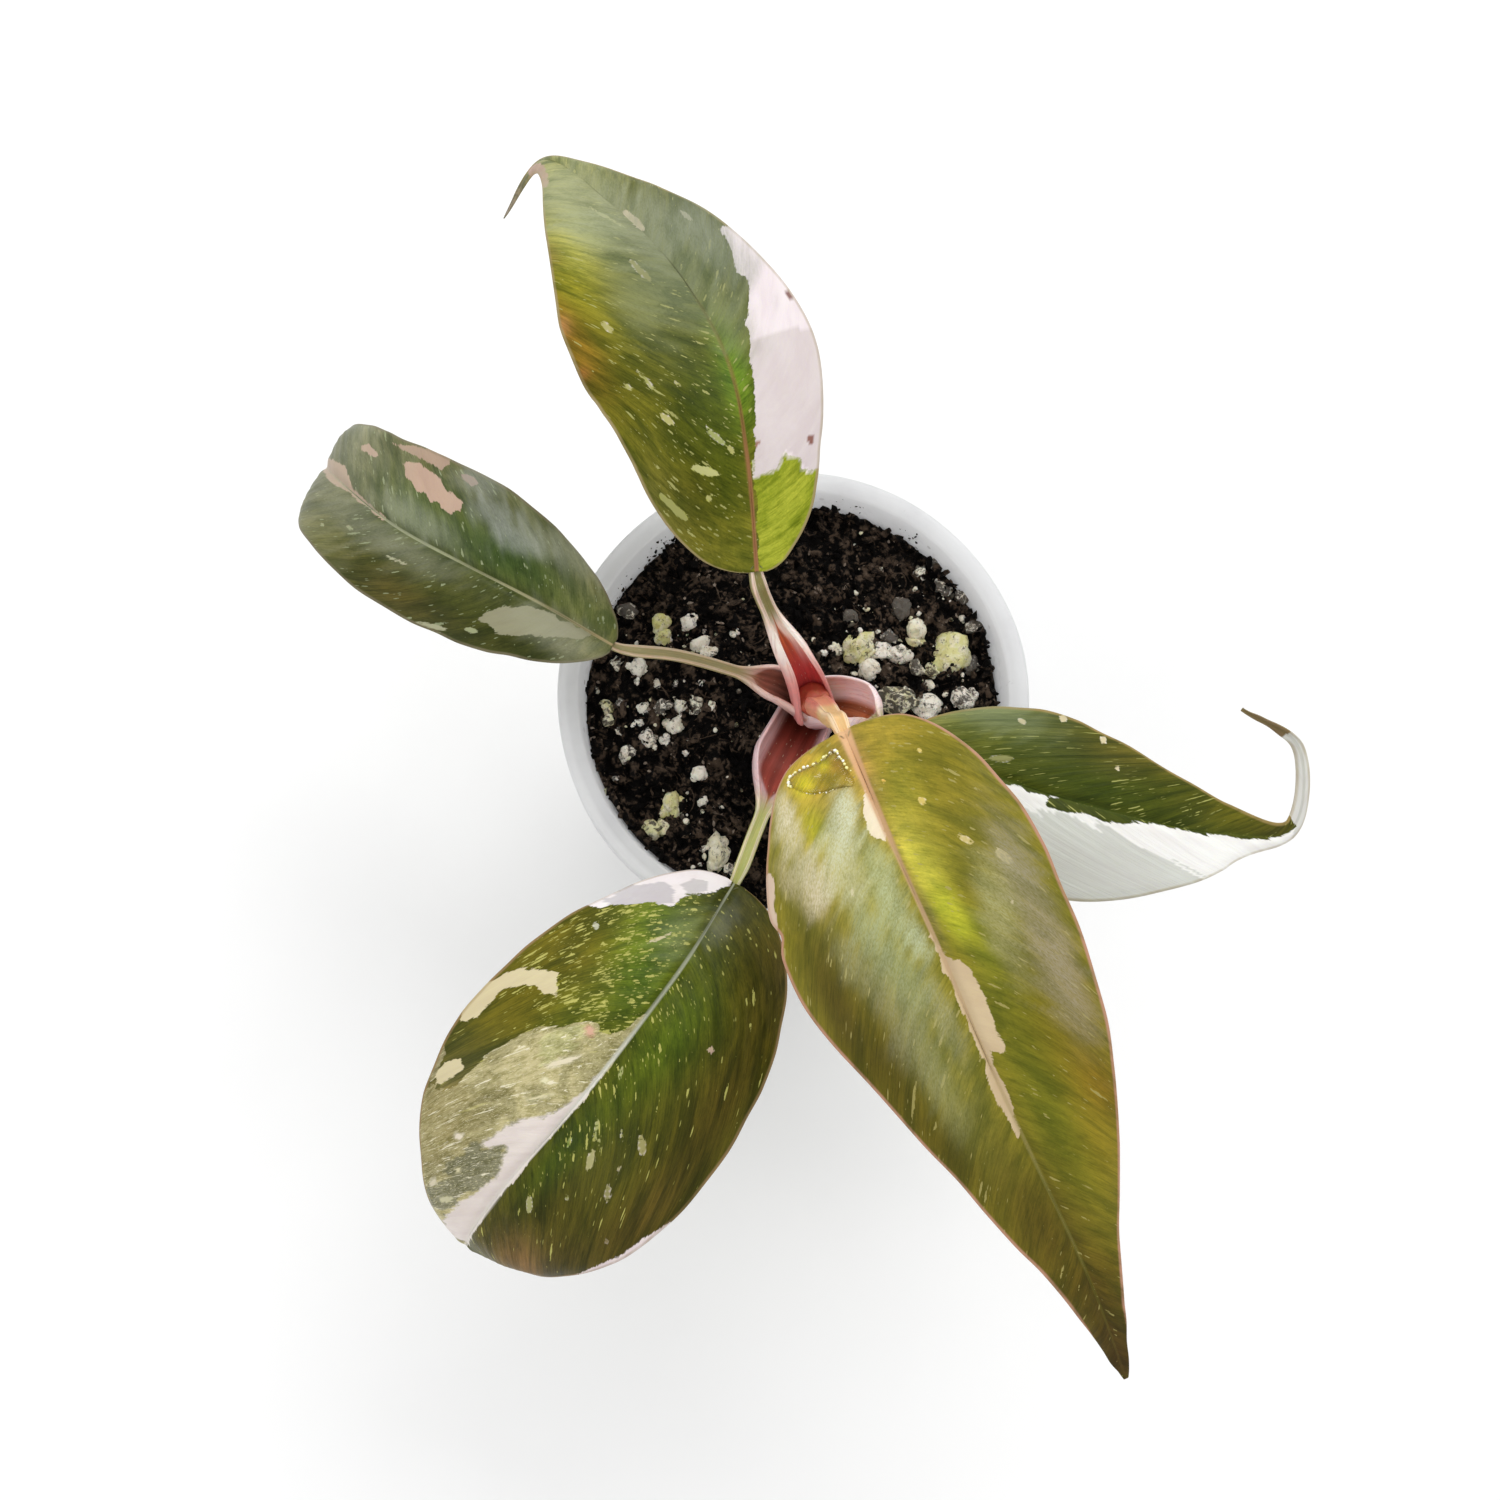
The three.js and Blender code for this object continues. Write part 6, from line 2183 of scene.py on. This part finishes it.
LOWER_LEFT_FINISH = LeafFinish(
    washes=washes(
        (25, -5, 18, 4.5, "4c6214", 0.85), (30, -16, 20, 4.5, "483e12", 0.8),
        (46, -18, 12, 3.5, "584820", 0.7), (8, -9, 8, 6, "584e14", 0.75), (6, -14, 8, 4, "504426", 0.7),
        (3, -3, 5, 4, "464420", 0.7), (40, -10, 12, 6, "4e4e14", 0.7), (12, 8, 9, 6, "647a22", 0.8),
        (24, 15, 12, 5, "70691c", 0.8), (36, 17, 8, 4, "66601a", 0.7), (20, 4, 9, 4, "5a7420", 0.75),
        (30, 8, 6, 4, "666e24", 0.6), (55, -6, 10, 8, "403c10", 0.75), (48, -3, 10, 2.5, "40560e", 0.6),
        (67, -9, 6, 6, "826444", 0.7), (60, -14, 8, 4, "504620", 0.7), (56, 14, 8, 5, "9c9064", 0.7),
    ),
    patches=(
        Patch(Tissue.MARBLED, hue("c6bb8e"), 0.5, (
            (80, 14.5), (68, 24), (57.5, 24), (55.4, 16), (53, 15.2), (50.5, 14.4), (47, 14.8), (43, 14.6),
            (37.5, 12.5), (35, 11.5), (32.5, 8.5), (30.5, 7), (29, 5.5), (30, 4), (30, 2.5), (28, 1),
            (22, 0.2), (22, -0.2), (80, -0.2),
        )),
        Patch(Tissue.MARBLED, hue("b0a580"), 0.4, ((54, 24), (53.3, 18), (50, 18.6), (48, 19.6), (46, 24))),
        Patch(Tissue.MARBLED, hue("aa9f72"), 2.2, (
            (44, 7), (52, 8), (58, 9), (72, 9), (72, 20), (57, 20), (50, 12), (45, 9.6),
        )),
        Patch(Tissue.MARBLED, hue("d2cd98"), 1.2, (
            (31.5, 6.4), (35, 5.6), (38, 7.4), (37.4, 9.4), (34, 9.4),
        )),
        Patch(Tissue.MARBLED, hue("8f8c72"), 1.3, (
            (53.6, 5.6), (51.6, 4.2), (52.6, 3), (56, 2), (60, 2.6), (64, 4), (68.5, 5), (68.6, 8.6),
            (66, 9.6), (62.5, 8), (59.6, 8.6), (57.5, 7.4), (55.4, 7.2), (54.4, 6.2),
        )),
        Patch(Tissue.CLEAR, hue("ece6e6"), 0.3, (
            (18, 24), (14.5, 15), (12, 13.4), (9.5, 11), (9, 8), (8, 6), (5.5, 5.4), (3.5, 2.6), (1, 0.6),
            (-2, 0.5), (-4, 10), (4, 24),
        )),
        # Painted shade: the lavender-grey parts of the white lobe, white tissue in shade
        Patch(Tissue.CLEAR, hue("c8c4c6"), 0.25, (
            (13, 15), (9, 13.5), (5.7, 9), (5.8, 7.2), (7.6, 6.6), (10, 9.7), (12.8, 13.6),
        )),
        Patch(Tissue.CLEAR, hue("ccc8c8"), 0.15, ((4.6, 6.4), (3, 5.4), (2.2, 3.6), (3.2, 3.2), (5, 5))),
        Patch(Tissue.CLEAR, hue(CREAM), 0.5, (
            (42.5, 20.5), (40.5, 23), (36, 21.6), (31.5, 19.4), (28.5, 17), (27, 14.5), (28, 13.5), (29, 12),
            (30, 12), (31, 13.5), (30.5, 15.5), (32.5, 17.5), (34.5, 19), (38, 19), (40.5, 19),
        )),
        Patch(Tissue.CLEAR, hue(CREAM), 0.45, (
            (52.4, 18), (49.4, 18.8), (47.2, 17.2), (47.8, 15.6), (50.2, 16.2), (52.2, 16.9),
        )),
        Patch(Tissue.CLEAR, hue("e0d6cf"), 0.3, (
            (34.9, -0.1), (38.1, 0.3), (40.1, 0.6), (43.3, 1.6), (44.9, 2.2), (47.2, 4.4), (49.5, 5.5),
            (52.1, 5.8), (53.8, 6.3), (53.8, 5.5), (52.2, 4.8), (51.4, 3.7), (52.4, 2.9), (53.6, 2.6),
            (55, 1.9), (56.8, 1.6), (59.9, 2.3), (64.1, 3.6), (66.8, 4), (76, 4.4), (76, -0.2), (34.9, -0.2),
        )),
        Patch(Tissue.CLEAR, hue("e6d8d8"), 0.2, (
            (42, -24), (43.5, -21), (47.5, -19.8), (52, -19.1), (57.5, -17.6), (63, -15.6), (64, -20),
            (55, -26),
        )),
    ),
    streaks=streaks(
        (22.4, -10.4, 22.8, -10.6, 0.6, PINKISH), (39.4, -3.7, 41.7, -5, 0.25, "a4a868"),
        (43.2, -6.1, 45.7, -7.4, 0.5, "a8a472"), (41.4, -5.2, 42.2, -6.8, 0.18, "9a9c5c"),
        (37.4, -10, 39.2, -12, 0.5, "9a9460"), (38.4, -7.2, 39.7, -8.5, 0.22, "8f9050"),
        (42, -10.4, 43, -10.9, 0.25, "a0986c"), (45.2, -11.1, 46.9, -12.4, 0.5, "908b5c"),
        (50.4, -7.6, 51.4, -8.2, 0.4, "8f9058"), (55.3, -3.9, 57.4, -5.2, 0.5, "a0a06a"),
        (43.9, -2.5, 45.4, -3.1, 0.2, "8fa050"), (31.5, -1.6, 33.5, -2.6, 0.3, "a0a868"),
        (51.6, -16, 52.2, -16.3, 0.35, "8a7d58"), (17.2, 14, 18, 13.6, 0.6, "b8b8a0"),
        (12, 4, 15.5, 6.2, 0.3, CREAM), (38.4, 6.5, 34.6, 4, 0.3, "e2d8bc"),
        (44.4, 5.8, 41.3, 3.7, 0.25, "d8d0a8"), (40.6, 5.9, 39.8, 5.7, 0.35, "e0dab4"),
        (31, 4.6, 30.6, 5.4, 0.45, "d8ae94"), (56.2, 10, 55.2, 9.4, 0.5, "e4dac4"),
        (66.4, 9, 64.3, 8.7, 0.4, "d8d0b4"), (60.2, 7, 59.6, 6.8, 0.35, "d0c8a4"),
        (66.6, 6.2, 65, 5.2, 0.4, "c8c4a0"),
    ),
    rib=hues("aeb29c", "bcbfac", "d6d6ca", "dfd8d0", "dfd8d0", "dfd8d0"),
    fleck_washes=densities(
        (14, 9, 10, 7, 0.95), (26, 7, 9, 6, 0.85), (22, 16, 12, 4, 0.6), (22, -3, 12, 2.5, 0.2),
        (46, -4, 10, 2.5, 0.18),
    ),
    painted_sheens=washes((7, -1.5, 4, 2, "8c9080", 0.3), (12, 3, 5, 2.5, "a0aa80", 0.25)),
    ground=hue("4a4c15"), rib_strength=(0.7, 0.75, 0.95, 0.95, 0.9, 0.6), margin=hue("8f7650"),
    fleck=hue("c0bc68"), flecks=0.035, contrast=0.66, relief=0.8, rib_width=(0.2, 0.22, 0.3, 0.4, 0.4),
)

# Colours of each petiole: its stalk, pale lines, sheath, lip, inner face and inner shade, the last partly
# painted shade deep in the crown
FRONT_STALK = PetioleFinish(*hues("deb87c", "fadcb4", "d2786a", "dc786c", "c2504a", "8a3428"), blush=0.5)
TOP_STALK = PetioleFinish(
    *hues("86814a", "f0d8c8", "f6d6ce", "fff6ee", "c4683e", "981f1a"), lip_from=0.22, blush=-1.0, glow=1.0
)
RIGHT_STALK = PetioleFinish(
    *hues("8f9450", "d5c0ac", "e4c4c6", "fce8ea", "a8633a", "6a2a18"), lip_from=0.3, blush=-1.0
)
LEFT_STALK = PetioleFinish(
    *hues("948c60", "cdb89c", "c09690", "f4d6cf", "a87464", "5c4036"), lip_from=0.7, blush=-1.0
)
LOWER_LEFT_STALK = PetioleFinish(
    *hues("a8ad62", "dcd6b4", "c6a4aa", "d8bcc0", "9c4c40", "5c1410"), lip_from=0.42, blush=-1.0
)

LEAVES: tuple[tuple[str, LeafForm, LeafFinish, PetioleFinish], ...] = (
    ("front", FRONT_FORM, FRONT_FINISH, FRONT_STALK),
    ("top", TOP_FORM, TOP_FINISH, TOP_STALK),
    ("right", RIGHT_FORM, RIGHT_FINISH, RIGHT_STALK),
    ("left", LEFT_FORM, LEFT_FINISH, LEFT_STALK),
    ("lower_left", LOWER_LEFT_FORM, LOWER_LEFT_FINISH, LOWER_LEFT_STALK),
)


def dress_solid(node: str, material: bpy.types.Material) -> None:
    """Gives a solid piece of the frame a material of its own."""
    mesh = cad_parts[node].data
    mesh.materials.clear()
    mesh.materials.append(material)


def main() -> None:
    """Builds the plant, its pot and the studio."""
    logging.basicConfig(level=logging.INFO, format="%(message)s")
    Studio().build()
    pot = Pot()
    made = [pot.build(), *PottingMix(pot).build(), Stem().build()]
    for name, form, finish, stalk in LEAVES:
        made.append(Petiole(name, form, stalk).build())
        blade = Blade(name, form, finish)
        made.append(blade.build())
        if name == "front":
            made += WaterDrop(blade).build()
    dress_solid("roots", Bark(hue("cdb88c"), hue("8d7448"), "root_skin").material())
    for piece in made:
        LOG.info("%s: %d faces", piece.name, len(piece.data.polygons))


if __name__ == "__main__":
    main()
